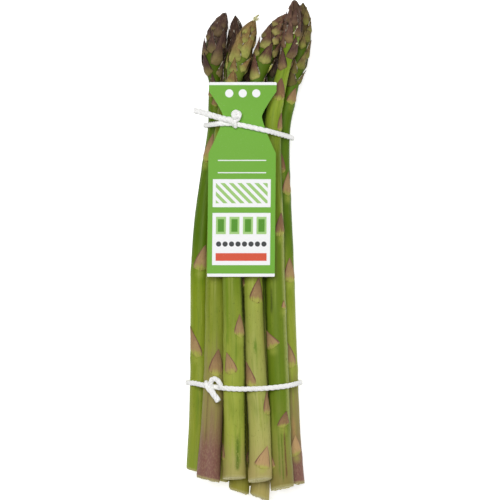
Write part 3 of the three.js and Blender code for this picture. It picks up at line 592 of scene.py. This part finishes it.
def spearPatterns(g):  # marks and noises that the spear's colours are laid on by
    straight = g.mark("grown", "Vector")
    x, y, z = g.split(straight)
    p = SimpleNamespace(along=y * 1000.0, angle=g.math("ARCTAN2", x, z))
    p.across, p.up, p.onLeaf, p.onHead, p.seed, p.paleFoot, p.tint = (
        g.mark(k) for k in ("leafAcross", "leafAlong", "isLeaf", "onHead", "leafSeed", "paleFoot", "tint"))
    p.streaks = g.noise(g.joined(x, y * 0.03, z), 700.0, 4.0, 0.6)
    p.threads = g.noise(g.joined(x, y * 0.06, z), 1700.0, 3.0, 0.65)
    p.clouds = g.noise(g.joined(x, y * 0.25, z), 90.0, 3.0)
    p.specks = g.noise(g.joined(x, y * 0.5, z), 1500.0, 2.0)
    p.cells = g.add("ShaderNodeTexVoronoi", None, {"Vector": straight, "Scale": 1100.0}, "Distance")
    p.edge = g.math("ABSOLUTE", p.across)
    p.veins = g.noise(g.joined(p.across * 2.2, p.up * 0.5, p.seed * 40.0), 3.0, 4.0, 0.6)
    p.mottle = g.noise(straight, 520.0, 5.0, 0.7)
    p.rise = p.up + (p.veins - 0.5) * 0.4 + p.edge * 0.1 + (p.mottle - 0.5) * 0.3
    return p


def stemPaint(g, p, look, radius, length, headLength):  # pale and yellowish low, deeper green high, streaked, with painted shade in the head's core and between stems
    c = skinColours
    drift = p.along + (p.clouds - 0.5) * 50.0
    turned, risen = (g.ease(look[k][0] * length, look[k][1] * length, drift) for k in ("turn", "rise"))
    stem = g.blend(turned, look["low"], look["half"])
    stem = g.blend(risen, stem, look["high"])
    stem = g.wash(stem, p.streaks, 0.52, 0.72, 0.5, c["deepStreak"])
    stem = g.wash(stem, p.streaks, 0.46, 0.25, 0.4 - 0.25 * risen, look["fibre"])
    stem = g.wash(stem, p.clouds, 0.55, 0.8, 0.45, c["cloud"])
    stem = g.wash(stem, p.threads, 0.55, 0.7, 0.3, c["thread"])
    stem = g.wash(stem, p.specks, 0.64, 0.72, 0.4, c["speck"])
    neckAt = length - headLength
    stem = g.wash(stem, p.along, neckAt - 8.0, neckAt + 4.0, 0.7, look["neck"])
    stem = g.wash(stem, p.along + (p.streaks - 0.5) * 24.0, 26.0, 3.0, 0.7, look["base"])
    if look["purple"]:
        reach = look["purple"] + (p.streaks - 0.5) * 70.0 + (p.clouds - 0.5) * 50.0
        stem = g.wash(stem, p.along / reach, 1.3, 0.6, 0.85, c["tawny"])
        purple = g.ease(0.62, 0.22, p.along / reach)
        stem = g.blend(purple * 0.9, stem, c["purple"])
        stem = g.wash(stem, p.threads, 0.5, 0.62, purple * 0.25, c["purpleThread"])
        stem = g.wash(stem, p.specks, 0.5, 0.4, purple * 0.3, c["purpleSpeck"])
    # the marks: streaks and bruises, and painted shade in the gaps between stems
    for degrees, start, end, half, colour, strength in look["marks"]:
        off = g.math("ABSOLUTE", p.angle - math.radians(degrees) + (p.clouds - 0.5) * 0.12) * radius
        line = g.ease(2.2 * half, 0.0, off + (p.threads - 0.5) * 0.5)
        span = g.ease(start - 1.5, start + 3.0, p.along) * g.ease(end + 4.0, end - 3.0, p.along)
        stem = g.wash(stem, p.specks, 0.2, 0.5, line * span * strength, colour)
    stem = g.wash(stem, p.along + (p.streaks - 0.5) * 2.5, 1.9, 0.3, 0.7, c["rim"])
    # painted shade: the head's core darkens towards the tip, where it lies in shade between the bracts
    core = g.blend(0.45, look["scale"], c["core"])
    stem = g.blend(g.ease(length - 0.62 * headLength, length - 0.4 * headLength, p.along), stem, core)
    pith = g.blend(g.ease(0.5, 0.15, p.cells), c["pith"], c["strand"])  # cut end: pale, with darker strands
    return g.blend(g.ease(0.16, 0.1, p.along), stem, pith)


def headLeafPaint(g, p, look):  # dark tops, paler feet, painted shade at the edges and tips, thin pale margins on some
    c = skinColours
    top = g.wash(look["scale"], p.mottle, 0.5, 0.72, 0.3, look["foot"])
    top = g.wash(top, p.veins, 0.52, 0.66, 0.6, look["streak"][0])
    top = g.wash(top, p.veins, 0.48, 0.34, 0.6, look["streak"][1])
    foot = g.blend(p.paleFoot, g.blend(0.15, look["scale"], look["foot"]), look["foot"])
    leaf = g.blend(g.ease(0.14, 0.52, p.rise), foot, top)
    # painted shade: dark along each bract's edges and at its tip, where the bracts overlap
    leaf = g.wash(leaf, p.edge, 0.66, 0.95, g.ease(0.06, 0.3, p.up) * 0.7, c["paintedCreviceShade"])
    leaf = g.wash(leaf, p.up, 0.86, 1.0, 0.5, c["paintedCreviceShade"])
    oneSide = p.across * g.math("SIGN", p.seed - 0.5)
    thin = g.ease(0.1, 0.3, p.up) * g.ease(0.95, 0.7, p.up) * g.ease(0.44, 0.56, p.mottle)
    leaf = g.wash(leaf, oneSide, 0.8, 0.93, thin * 0.8, c["margin"])
    own = g.blend(g.math("FRACT", p.seed * 7.3), (0.82, 0.8, 0.8, 1.0), (1.2, 1.18, 1.15, 1.0))
    leaf = g.blend(1.0, leaf, own, "MULTIPLY")
    leaf = g.blend(1.0, leaf, g.blend(g.ease(0.3, 0.7, p.mottle), c["dark"], c["full"]), "MULTIPLY")
    return g.blend(g.ease(0.9, 1.0, p.tint), leaf, c["bud"])


def stemLeafPaint(g, p, stem):  # the stem's own colour at the foot, brown to tan above
    c = skinColours
    dry = g.blend(g.ease(0.1, 0.5, p.tint), c["dryBrown"], c["dryTan"])
    dry = g.blend(g.ease(0.6, 1.0, p.tint), dry, c["dryPale"])
    dry = g.wash(dry, p.veins, 0.52, 0.72, 0.5, c["dryVein"])
    dry = g.wash(dry, p.mottle, 0.54, 0.7, 0.5, c["dryLight"])
    dry = g.wash(dry, p.mottle, 0.46, 0.34, 0.3, c["dryShade"])
    dry = g.wash(dry, p.up, 0.35, 0.95, 0.75 - 0.65 * p.tint, c["dryTop"])
    leaf = g.blend(g.ease(0.12, 0.34, p.rise), g.blend(0.6, stem, c["dryFoot"]), dry)
    leaf = g.wash(leaf, p.edge, 0.72, 0.92, g.ease(0.1, 0.35, p.up) * 0.8, c["dryEdge"])
    scarred = p.veins + (p.mottle - 0.5) * 0.6
    return g.wash(leaf, scarred, 0.54, 0.64, g.ease(0.2, 0.03, p.up) * 0.8, c["scar"])


def spearSkin(name, look, radius, length, headLength):
    material, g, shader = startMaterial(name, 0.5, 0.12)
    p = spearPatterns(g)
    stem = stemPaint(g, p, look, radius, length, headLength)
    leaf = g.blend(p.onHead, stemLeafPaint(g, p, stem), headLeafPaint(g, p, look))
    warm = (1.0, 1.0, 0.84, 1.0)
    colour = g.blend(1.0 - p.onLeaf * p.onHead * 0.8, g.blend(p.onLeaf, stem, leaf), warm, "MULTIPLY")
    relief = p.streaks * 0.6 + p.threads * 0.4 + p.clouds * 0.5
    relief = relief + p.veins * p.onLeaf * 0.8 + p.mottle * p.onLeaf * 0.4
    feed(g, shader, Base_Color=colour, Roughness=0.44 + 0.16 * p.clouds + 0.14 * p.onLeaf,
         Normal=g.bump(relief, 0.3, 0.6 * mm))
    return material


print("reading the spears' lines")
spearLines = {node: spearLine(node) for node in spears}


def hiddenScales(node, index, length):  # at even steps, but for those that would lie under a tie
    s = spearShape["hiddenScales"]
    line, run = spearLines[node]
    found = []
    for place in np.arange(s["first"], length - s["belowTip"], s["apart"]):
        y = np.interp(place * mm, run, line[:, 1]) / mm
        if not any(-s["tieBefore"] < tie - y < s["tieAfter"] for tie in tieHeights.values()):
            found.append([place, math.degrees(index - 6 + len(found) * goldenAngle)])
    return found


def spearStations(spear, length, index):  # distances from the cut end, and the radii there
    s = spearShape
    rim, tip = np.array(s["rim"]), np.array(s["tip"])  # where the stations are close together
    between = np.arange(s["stepsFrom"], length - s["stepsTo"], s["step"])
    stations = np.concatenate([rim[:, 0], between, length - tip[:, 0]])
    inner = innerRadius(spear, stations, length)
    inner[:len(rim)] *= rim[:, 1]
    inner[-len(tip):] = inner[-len(tip) - 1] * tip[:, 1]
    # the stem wavers a little and swells under each scale leaf
    onStem = np.clip((length - spear["head"][0] - stations) / s["fadeToHead"], 0, 1)
    onStem *= np.clip(stations / s["fadeFromCut"], 0, 1)
    swell = s["waver"] * spear["radius"] * np.sin(stations / s["waverLength"] + 2 * index) * onStem
    for foot, *rest in spear["scales"]:
        off = (stations - foot + s["swellBelow"]) / s["swellReach"]
        swell += s["nodeSwell"] * np.exp(-off ** 2) * onStem
    return stations, inner + swell, outerRadius(spear, stations, length) + swell


def spearLook(node):  # its colours and marks, with a paler collar under each scale leaf
    look = dict(underColours, **spearColours.get(node, {}))
    collar = spearShape["collar"]
    for foot, degrees, *rest in spears[node]["scales"]:
        strength = collar["strength"] if foot < spearShape["highFrom"] else collar["faint"]
        reach = (foot - collar["below"], foot + collar["above"], collar["half"])
        look["marks"] = look["marks"] + [(degrees, *reach, collar["colour"], strength)]
    return look


def makeSpear(tree, node, index):
    spear, s = spears[node], spearShape
    line, run = spearLines[node]
    length = run[-1] / mm
    hidden = "head" not in spear
    if hidden:
        headLength, share, blunt = s["hiddenHead"]
        spear["head"] = (headLength, share * spear["radius"], blunt)
        spear["scales"] = hiddenScales(node, index, length)
    stations, inner, outer = spearStations(spear, length, index)
    leaves = leafList(spear, length, index, hidden)
    # one line of points: the stations, then a point for each leaf
    count, extra = len(stations), len(leaves)
    points = [(0, station * mm, 0) for station in stations] + [(0, 0, 0)] * extra
    lineAt = np.stack([np.interp(stations * mm, run, line[:, k]) for k in range(3)], axis=1)
    marks = {
        "stemRadius": np.pad(inner * mm, (0, extra)),
        "envelope": np.pad(outer * mm, (0, extra)),
        "lineAt": np.pad(lineAt, ((0, extra), (0, 0))),
        "isLeaf": np.repeat([0.0, 1.0], [count, extra]),
    }
    for key in leaves[0]:
        scale = mm if key in leafLengths else 1.0
        marks[key] = np.pad([leaf[key] * scale for leaf in leaves], (count, 0))
    maker = lineObject(node + "_line", points, [(i, i + 1) for i in range(count - 1)], marks)
    slopeAcross, slopeUp, raggedness = spear["cut"]
    skin = spearSkin(node + "_skin", spearLook(node), spear["radius"], length, spear["head"][0])
    piece = grown(maker, tree, {
        "Stem sides": s["stemSides"], "Leaf columns": s["leafColumns"], "Leaf rows": s["leafRows"],
        "Leaf thickness": s["leafThickness"], "Keel drop": s["keelDrop"], "Unevenness": s["unevenness"],
        "Cut slope across": slopeAcross, "Cut slope up": slopeUp, "Cut raggedness": raggedness, "Skin": skin,
    }, node + "_grown")
    dress(piece, "spear", node)
    print("spear", node, len(piece.data.polygons), "faces")


spearTree = makeSpearTree()
for index, node in enumerate(spears):
    makeSpear(spearTree, node, index)


# Label: a thin card, waisted where the string holds it, printed on its upper side
labelShape = dict(
    shoulderLow=64.0, shoulderHigh=96.0, waist=83.0, halfWidth=17.5, waistHalfWidth=10.0, corner=0.5,
    turn=1.25, thickness=0.45, columns=28, rows=150, edgeDroop=0.5, wave=0.12,
)
# Print, as left, right, low and high from the middle of the card's foot, or as a middle and a radius
labelPrint = dict(
    green="76b03f", greenCloud="6ca938", white="f6f6f7", hatch="9fca78", frame="a5cf80", pane="57952f",
    band="d9583f", dot="46484a", card="dcdcd6", fibre="cfd8c2", edge=0.12, lean=0.01,
    footStrip=(-20, 20, -1, 1.6), topStrip=1.5, rules=[(-12.5, 12.5, 60.0, 60.5), (-12.5, 12.5, 53.6, 54.1)],
    panels=[(-15, 15, 6.0, 33.0), (-15, 15, 36.0, 50.5)], discs=[(-7 + 7 * k, 95.0, 2.1) for k in range(3)],
    hatched=(-13.4, 13.4, 38.0, 48.5), hatchStep=4.4, redBand=(-13.2, 13.2, 8.2, 12.2),
    frames=[(-13.2 + 7 * k, -8.0 + 7 * k, 22.0, 31.0) for k in range(4)],
    panes=[(-12.2 + 7 * k, -9.0 + 7 * k, 23.2, 29.8) for k in range(4)],
    dots=[(-11.7 + 3.35 * k, 16.9, 1.35) for k in range(8)],
)
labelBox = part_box("label_card")
labelLength = (labelBox[1].y - labelBox[0].y) / mm


def labelLine():  # rows of the card's solid: height along, middle and top
    place = np.array([v.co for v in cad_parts["label_card"].data.vertices])
    found = []
    for y in np.unique(np.round(place[:, 1], 6)):
        row = place[np.abs(place[:, 1] - y) < 2e-6]
        found.append((y, (row[:, 0].min() + row[:, 0].max()) / 2, row[:, 2].max()))
    return np.array(found)


labelRows = labelLine()


def labelAt(y):  # middle and top of the card's solid at a height along
    return [np.interp(y, labelRows[:, 0], labelRows[:, k]) for k in (1, 2)]


def labelHalf(d):  # half width at a distance from the foot, in millimetres
    s = labelShape
    half = s["halfWidth"]
    if s["shoulderLow"] < d < s["shoulderHigh"]:
        edge = s["shoulderLow"] if d < s["waist"] else s["shoulderHigh"]
        half = lerp(s["waistHalfWidth"], half, ((d - s["waist"]) / (edge - s["waist"])) ** s["turn"])
    past = max(0.0, s["corner"] - d, d - (labelLength - s["corner"]))
    return half - s["corner"] + math.sqrt(max(0.0, s["corner"] ** 2 - past ** 2))


def labelSkin():
    material, g, shader = startMaterial("printed_card", 0.5, 0.1)
    p = labelPrint
    soft = p["edge"]
    x, y = g.split(g.add("ShaderNodeTexCoord", None, None, "Object"))[:2]
    d = (y - labelBox[0].y) * 1000.0
    w = (x - float(labelRows[0, 1])) * 1000.0 - d * p["lean"]
    fibres = g.noise(g.joined(x, y, 0.0), 900.0, 3.0)
    clouds = g.noise(g.joined(x, y, 0.0), 60.0, 2.0)

    def box(left, right, low, high):
        return (g.ramp(left - soft, left + soft, w) * g.ramp(right + soft, right - soft, w)
                * g.ramp(low - soft, low + soft, d) * g.ramp(high + soft, high - soft, d))

    def disc(cx, cy, r):
        far = g.math("SQRT", (w - cx) ** 2.0 + (d - cy) ** 2.0)
        return g.ramp(r + soft, r - soft, far)

    colour = g.blend(clouds * 0.35, p["green"], p["greenCloud"])
    left, right = p["footStrip"][:2]
    white = box(left, right, labelLength - p["topStrip"], labelLength + 1)
    boxes = [p["footStrip"], *p["rules"], *p["panels"]]
    for part in [box(*b) for b in boxes] + [disc(*b) for b in p["discs"]]:
        white = g.math("MAXIMUM", white, part)
    colour = g.blend(white, colour, p["white"])
    stripe = g.math("FRACT", (w + d) / p["hatchStep"])
    colour = g.blend(box(*p["hatched"]) * g.ramp(0.46, 0.5, stripe), colour, p["hatch"])
    for frameBox, paneBox in zip(p["frames"], p["panes"]):
        colour = g.blend(box(*frameBox), colour, p["frame"])
        colour = g.blend(box(*paneBox), colour, p["pane"])
    colour = g.blend(box(*p["redBand"]), colour, p["band"])
    for dot in p["dots"]:
        colour = g.blend(disc(*dot), colour, p["dot"])
    colour = g.blend(g.mark("printed"), p["card"], colour)
    colour = g.wash(colour, fibres, 0.6, 0.8, 0.12, p["fibre"])
    feed(g, shader, Base_Color=colour, Roughness=0.42 + 0.16 * fibres, Normal=g.bump(fibres, 0.1, 0.4 * mm))
    return material


def makeLabel():
    s = labelShape
    columns, corner = s["columns"], s["corner"]
    ends = [corner * (1 - math.cos(a * math.pi / 16)) for a in range(9)]
    inner = list(np.linspace(corner, labelLength - corner, s["rows"]))[1:-1]
    places = ends + inner + [labelLength - e for e in reversed(ends)]
    verts, faces = [], []
    for side in (0, 1):  # upper side, then under side
        for d in places:
            y = labelBox[0].y + d * mm
            middle, top = labelAt(y)
            half = labelHalf(d) * mm
            for c in range(columns + 1):
                t = 2 * c / columns - 1
                share = t * half / (s["halfWidth"] * mm)
                droop = s["edgeDroop"] * abs(share) ** 3
                droop += s["wave"] * share * math.sin(0.09 * d + 1.5 * share)
                verts.append((middle + t * half, y, top - droop * mm - side * s["thickness"] * mm))
    lines, wide = len(places), columns + 1
    under = lines * wide
    for r in range(lines - 1):
        for c in range(columns):
            a = r * wide + c
            faces.append((a, a + 1, a + 1 + wide, a + wide))
            faces.append((under + a + wide, under + a + wide + 1, under + a + 1, under + a))
    rim = list(range(columns)) + [r * wide + columns for r in range(lines)]  # right round, anticlockwise
    rim += [(lines - 1) * wide + c for c in range(columns - 1, -1, -1)]
    rim += [r * wide for r in range(lines - 2, 0, -1)]
    for a, b in zip(rim, rim[1:] + rim[:1]):
        faces.append((b, a, under + a, under + b))
    mesh = bpy.data.meshes.new("label_card_sheet")
    mesh.from_pydata(verts, [], faces)
    side = mesh.attributes.new("printed", "FLOAT", "FACE")
    side.data.foreach_set("value", [1.0 if max(face) < under else 0.0 for face in faces])
    mesh.polygons.foreach_set("use_smooth", [True] * len(faces))
    mesh.materials.append(labelSkin())
    piece = newObject("label_card_sheet", mesh)
    mesh.set_sharp_from_angle(angle=math.radians(50))
    dress(piece, "label", "label_card")


makeLabel()
print("label", round(labelLength, 1), "mm long")

# Ties: a loop drawn tight round the spears, which falls or sags on its way, and a knot, given by the runs of
# string in it, loose or not, as offsets from a point of the loop: on along it, towards the tips and outwards
tieShape = dict(
    radius=1.35, tailRadius=1.6, pressed=0.62, floorShare=0.58, floorReach=1.2, spearGap=0.91, labelGap=1.05,
    labelMiddle=-2.9, labelEdge=1.0, spearSides=32, sagHalfWidth=28, frontFrom=15, knotFrom=12, knotStep=4,
    turns=56, curveSteps=12, loopPoints=400, runPoints=60,
    strands=3, turnLength=9.0 * mm, strandSides=10, step=0.45 * mm, fluff=0.1,
)
ties = {
    "tie_upper": dict(fall=0.22, fallsFrom=-7.3, sag=0, overLabel=True, knotAt=-8.5, runs=[
        (True, [[1.8, -1.4, .3], [.6, .4, 1.9], [-1.2, 1.8, 1.9], [-4, 2.2, 1.5], [-9, 3.7, 1], [-14, 5.2, 0],
                [-19.6, 6.9, -2]]),
        (False, [[-.6, -.6, .4], [.9, 1, 1.5], [3.2, 2.8, 1.7], [3.5, 4.9, 2], [2, 5.8, 2.3], [.6, 4.6, 2.7],
                 [1.5, 3.2, 3.1], [2.8, 3.7, 3.2]])]),
    "tie_lower": dict(fall=0, fallsFrom=0, sag=2.5, overLabel=False, knotAt=-18.3, runs=[
        (True, [[-3.6, 1.9, .8], [-2.2, .7, 2], [-.6, -1.2, 2.3], [1.9, -3.9, 2.1], [4.4, -7.3, 1.6]]),
        (False, [[-.4, -1.2, 1], [-.1, 1.4, 2.2], [.9, 3.6, 2.5], [2.9, 4.2, 2.4], [4.7, 2.8, 1.9],
                 [5.3, .8, 1.1], [5, -.6, .3]])]),
}
stringColours = dict(shade="efeeea", light="ffffff", lint="dedcd4")


def outline(points):  # outermost ring of flat points, anticlockwise
    ordered = sorted(map(tuple, points))

    def chain(row):
        kept = []
        for p in row:
            while len(kept) > 1 and ((kept[-1][0] - kept[-2][0]) * (p[1] - kept[-2][1])
                                     - (kept[-1][1] - kept[-2][1]) * (p[0] - kept[-2][0])) <= 0:
                kept.pop()
            kept.append(p)
        return kept[:-1]

    return np.array(chain(ordered) + chain(ordered[::-1]))


def smoothPath(points, count, closed):  # even points on a curve through the given ones, and its length
    points = np.array(points, float)
    if closed:
        padded = np.concatenate([points[-1:], points, points[:2]])
    else:
        padded = np.concatenate([[2 * points[0] - points[1]], points, [2 * points[-1] - points[-2]]])
    fine = []
    for i in range(1, len(padded) - 2):
        p0, p1, p2, p3 = padded[i - 1:i + 3]
        for t in np.linspace(0, 1, tieShape["curveSteps"], endpoint=False):
            fine.append(0.5 * (2 * p1 + (p2 - p0) * t + (2 * p0 - 5 * p1 + 4 * p2 - p3) * t ** 2
                               + (3 * p1 - p0 - 3 * p2 + p3) * t ** 3))
    fine = np.array(fine + [padded[-2]])
    run = runAlong(fine)
    at = np.linspace(0, run[-1], count, endpoint=not closed)
    return np.stack([np.interp(at, run, fine[:, k]) for k in range(3)], axis=1), run[-1]


def tieHeight(name, x):  # how far along the bundle the string is at a distance across
    return tieHeights[name] - ties[name]["fall"] * max(0, x - ties[name]["fallsFrom"])


def crossing(line, y):  # where a spear's line is at a height along the bundle, across and up
    return [np.interp(y, line[:, 1], line[:, k]) for k in (0, 2)]


def tiePoints(name):  # what the string's middle line goes round, seen along the bundle
    s = tieShape
    depth = s["pressed"] * s["radius"]
    around = np.arange(s["spearSides"]) * 2 * math.pi / s["spearSides"]
    found = []
    for node in spears:
        line = spearLines[node][0] / mm
        height = tieHeight(name, crossing(line, tieHeights[name])[0])
        x, z = crossing(line, height)
        share = (height - line[0, 1]) / (line[-1, 1] - line[0, 1])
        reach = spears[node]["radius"] * stemShare(share) + s["spearGap"] + depth
        found += [(x + reach * math.cos(a), z + reach * math.sin(a)) for a in around]
    if ties[name]["overLabel"]:
        for side in (-1, 1):
            y = tieHeight(name, side * labelShape["waistHalfWidth"] + s["labelMiddle"])
            middle, top = (value / mm for value in labelAt(y * mm))
            half = labelHalf(y - labelBox[0].y / mm)
            found.append((middle + side * (half + s["labelEdge"]), top + depth + s["labelGap"]))
    return found


def tieLoop(name):
    s = tieShape
    ring = outline(tiePoints(name))
    ring = np.roll(ring, -int(ring[:, 1].argmin()), axis=0)
    closed = np.concatenate([ring, ring[:1]])
    run = runAlong(closed)
    at = np.linspace(0, run[-1], s["turns"], endpoint=False)
    floor = s["floorShare"] * s["pressed"] * s["radius"]
    loop = []
    for x, z in np.stack([np.interp(at, run, closed[:, k]) for k in (0, 1)], axis=1):
        sag = ties[name]["sag"] * max(0, 1 - (x / s["sagHalfWidth"]) ** 2) if z > s["frontFrom"] else 0
        loop.append((x, tieHeight(name, x) - sag, floor if z < floor + s["floorReach"] else z))
    return smoothPath(loop, s["loopPoints"], True)


def makeStringTree():
    tree, g, given = startTree("string twisted from strands", [
        ("Strands", "Int"), ("Turn length", "Float"), ("Strand sides", "Int"), ("Step", "Float"),
        ("Fluff", "Float"), ("Pressed depth", "Float"), ("Skin", "Material")])
    place = g.place()
    path = g.add("GeometryNodeMeshToCurve", None, {"Mesh": given["Geometry"]})
    path = g.add("GeometryNodeResampleCurve", {"mode": "LENGTH"}, {"Curve": path, "Length": given["Step"]})
    distance, share = g.add("GeometryNodeSplineParameter", None, None, ("Length", "Factor"))
    whole = g.add("GeometryNodeSplineLength", None, None, "Length")
    turns = g.math("ROUND", whole / given["Turn length"])
    path = g.keep(path, "stringTurn", share * turns * (2 * math.pi))
    path = g.keep(path, "stringRun", distance)
    path = g.keep(path, "stringMiddle", place, "FLOAT_VECTOR")
    strands, which = g.add("GeometryNodeDuplicateElements", {"domain": "SPLINE"},
                           {"Geometry": path, "Amount": given["Strands"]}, ("Geometry", "Duplicate Index"))
    strands = g.keep(strands, "strandNumber", which)
    angle = g.field("stringTurn") + g.field("strandNumber") * (2 * math.pi) / given["Strands"]
    normal = g.add("GeometryNodeInputNormal", None, None, "Normal")
    side = g.vector("CROSS_PRODUCT", g.add("GeometryNodeInputTangent"), normal)
    thick = g.field("stringRadius")
    loose = g.noise(g.joined(g.field("stringRun"), g.field("strandNumber") * 7.0, 0.0), 160.0, 2.0)
    reach = thick * (0.32 + given["Fluff"] * loose)
    offset = g.vector("ADD", g.scaled(normal, g.math("COSINE", angle) * reach),
                      g.scaled(side, g.math("SINE", angle) * reach))
    strands = g.move(strands, "Offset", offset)
    ring = {"Resolution": given["Strand sides"], "Radius": 1.0}
    ring = g.add("GeometryNodeCurvePrimitiveCircle", None, ring)
    cord = g.add("GeometryNodeCurveToMesh", None, {
        "Curve": strands, "Profile Curve": ring, "Scale": thick * 0.66, "Fill Caps": True})
    # pressed flat on the bundle and on the table
    flatWay = g.field("flatWay", "FLOAT_VECTOR")
    fromMiddle = g.vector("SUBTRACT", place, g.field("stringMiddle", "FLOAT_VECTOR"))
    out = g.vector("DOT_PRODUCT", fromMiddle, flatWay, take="Value")
    cord = g.move(cord, "Offset", g.scaled(flatWay, out * (given["Pressed depth"] - 1.0)))
    x, y, z = g.split(place)
    cord = g.move(cord, "Position", g.joined(x, y, g.math("MAXIMUM", z, 0.0)))
    endTree(g, cord, given["Skin"])
    return tree


def stringSkin():
    material, g, shader = startMaterial("cotton_string", 0.85)
    straight = g.add("ShaderNodeTexCoord", None, None, "Object")
    run, turn, number = (g.mark(k) for k in ("stringRun", "stringTurn", "strandNumber"))
    z = g.split(straight)[2]
    fibre = g.noise(g.joined(run * 0.15, turn * 0.002 + number * 0.03, z), 2600.0, 3.0, 0.6)
    lint = g.noise(straight, 1700.0, 3.0)
    colour = g.blend(g.ease(0.3, 0.7, fibre), stringColours["shade"], stringColours["light"])
    colour = g.wash(colour, lint, 0.62, 0.8, 0.2, stringColours["lint"])
    feed(g, shader, Base_Color=colour, Roughness=0.78 + 0.15 * lint,
         Normal=g.bump(fibre * 0.7 + lint * 0.5, 0.3, 0.4 * mm))
    return material


def makeTie(tree, name, skin):
    s, tie = tieShape, ties[name]
    loop, loopLength = tieLoop(name)
    front = loop[loop[:, 2] > s["knotFrom"]]
    at = front[np.abs(front[:, 0] - tie["knotAt"]).argmin()]
    onward = front[np.abs(front[:, 0] - tie["knotAt"] - s["knotStep"]).argmin()] - at
    onward[1] = 0
    onward /= np.linalg.norm(onward)
    tipward = np.array([0.0, 1.0, 0.0])
    outward = np.cross(onward, tipward)
    points, radii, lengths = list(loop), [s["radius"]] * len(loop), [loopLength]
    edges = [(i, (i + 1) % len(loop)) for i in range(len(loop))]
    for loose, offsets in tie["runs"]:
        route = [at + a * onward + b * tipward + c * outward for a, b, c in offsets]
        path, pathLength = smoothPath(route, s["runPoints"], False)
        first = len(points)
        points += list(path)
        edges += [(first + i, first + i + 1) for i in range(len(path) - 1)]
        radii += [s["tailRadius" if loose else "radius"]] * len(path)
        lengths.append(pathLength)
    # the loop is pressed flat on the bundle, the runs of the knot stay round
    ahead = np.roll(loop, -1, axis=0) - np.roll(loop, 1, axis=0)
    flatWay = np.stack([ahead[:, 2], np.zeros(len(loop)), -ahead[:, 0]], axis=1)
    flatWay /= np.linalg.norm(flatWay, axis=1)[:, None]
    flatWay = np.concatenate([flatWay, np.zeros((len(points) - len(loop), 3))])
    maker = lineObject(name + "_line", np.array(points) * mm, edges, {
        "stringRadius": np.array(radii) * mm, "flatWay": flatWay})
    piece = grown(maker, tree, {
        "Strands": s["strands"], "Turn length": s["turnLength"], "Strand sides": s["strandSides"],
        "Step": s["step"], "Fluff": s["fluff"], "Pressed depth": s["pressed"], "Skin": skin,
    }, name + "_string")
    dress(piece, "string", name)
    print("tie", name, "string", [round(v) for v in lengths], "mm", len(piece.data.polygons), "faces")


stringTree = makeStringTree()
stringLook = stringSkin()
for name in ties:
    makeTie(stringTree, name, stringLook)

# Table, light and camera, in metres
studio = dict(
    aim=(0.9 * mm, -0.1 * mm), distance=1.7, span=260 * mm, sensor=36, middleHeight=30 * mm, world=0.2,
    tableSize=3.0, tableTone=0.9, tableGlow=0.6, tableTop=-0.02 * mm,  # just under the string
    lights={"key": dict(place=(-0.14, 0.26, 1.46), size=0.7, power=16.0),
            "fill": dict(place=(0.9, -0.3, 0.9), size=1.2, power=2.0)},
)


def makeTable():
    size, top = studio["tableSize"], studio["tableTop"]
    corners = [(-size, -size, top), (size, -size, top), (size, size, top), (-size, size, top)]
    mesh = bpy.data.meshes.new("table")
    mesh.from_pydata(corners, [], [(0, 1, 2, 3)])
    material, graph, shader = startMaterial("pale_table", 0.7)
    shader.inputs["Base Color"].default_value = (*[studio["tableTone"]] * 3, 1)
    shader.inputs["Emission Color"].default_value = (1, 1, 1, 1)
    shader.inputs["Emission Strength"].default_value = studio["tableGlow"]
    mesh.materials.append(material)
    newObject("table", mesh)


def makeLight(name, place, size, power):
    light = bpy.data.lights.new(name, "AREA")
    light.shape, light.size, light.energy = "DISK", size, power
    lamp = newObject(name, light)
    lamp.location = place
    x, y, z = place  # turned to the middle of the table
    lamp.rotation_euler = (math.atan2(math.hypot(x, y), z), 0, math.atan2(-y, -x) - math.pi / 2)


makeTable()
for name, light in studio["lights"].items():
    makeLight(name, **light)
world = bpy.data.worlds.new("studio")
world.use_nodes = True
world.node_tree.nodes["Background"].inputs["Color"].default_value = (1, 1, 1, 1)
world.node_tree.nodes["Background"].inputs["Strength"].default_value = studio["world"]
bpy.context.scene.world = world
bpy.context.scene.view_settings.view_transform = "Standard"

camera = newObject("camera", bpy.data.cameras.new("camera"))
camera.location = (*studio["aim"], studio["distance"])
camera.data.sensor_width = studio["sensor"]
camera.data.lens = studio["sensor"] * (studio["distance"] - studio["middleHeight"]) / studio["span"]
bpy.context.scene.camera = camera
print("table, lights and camera")
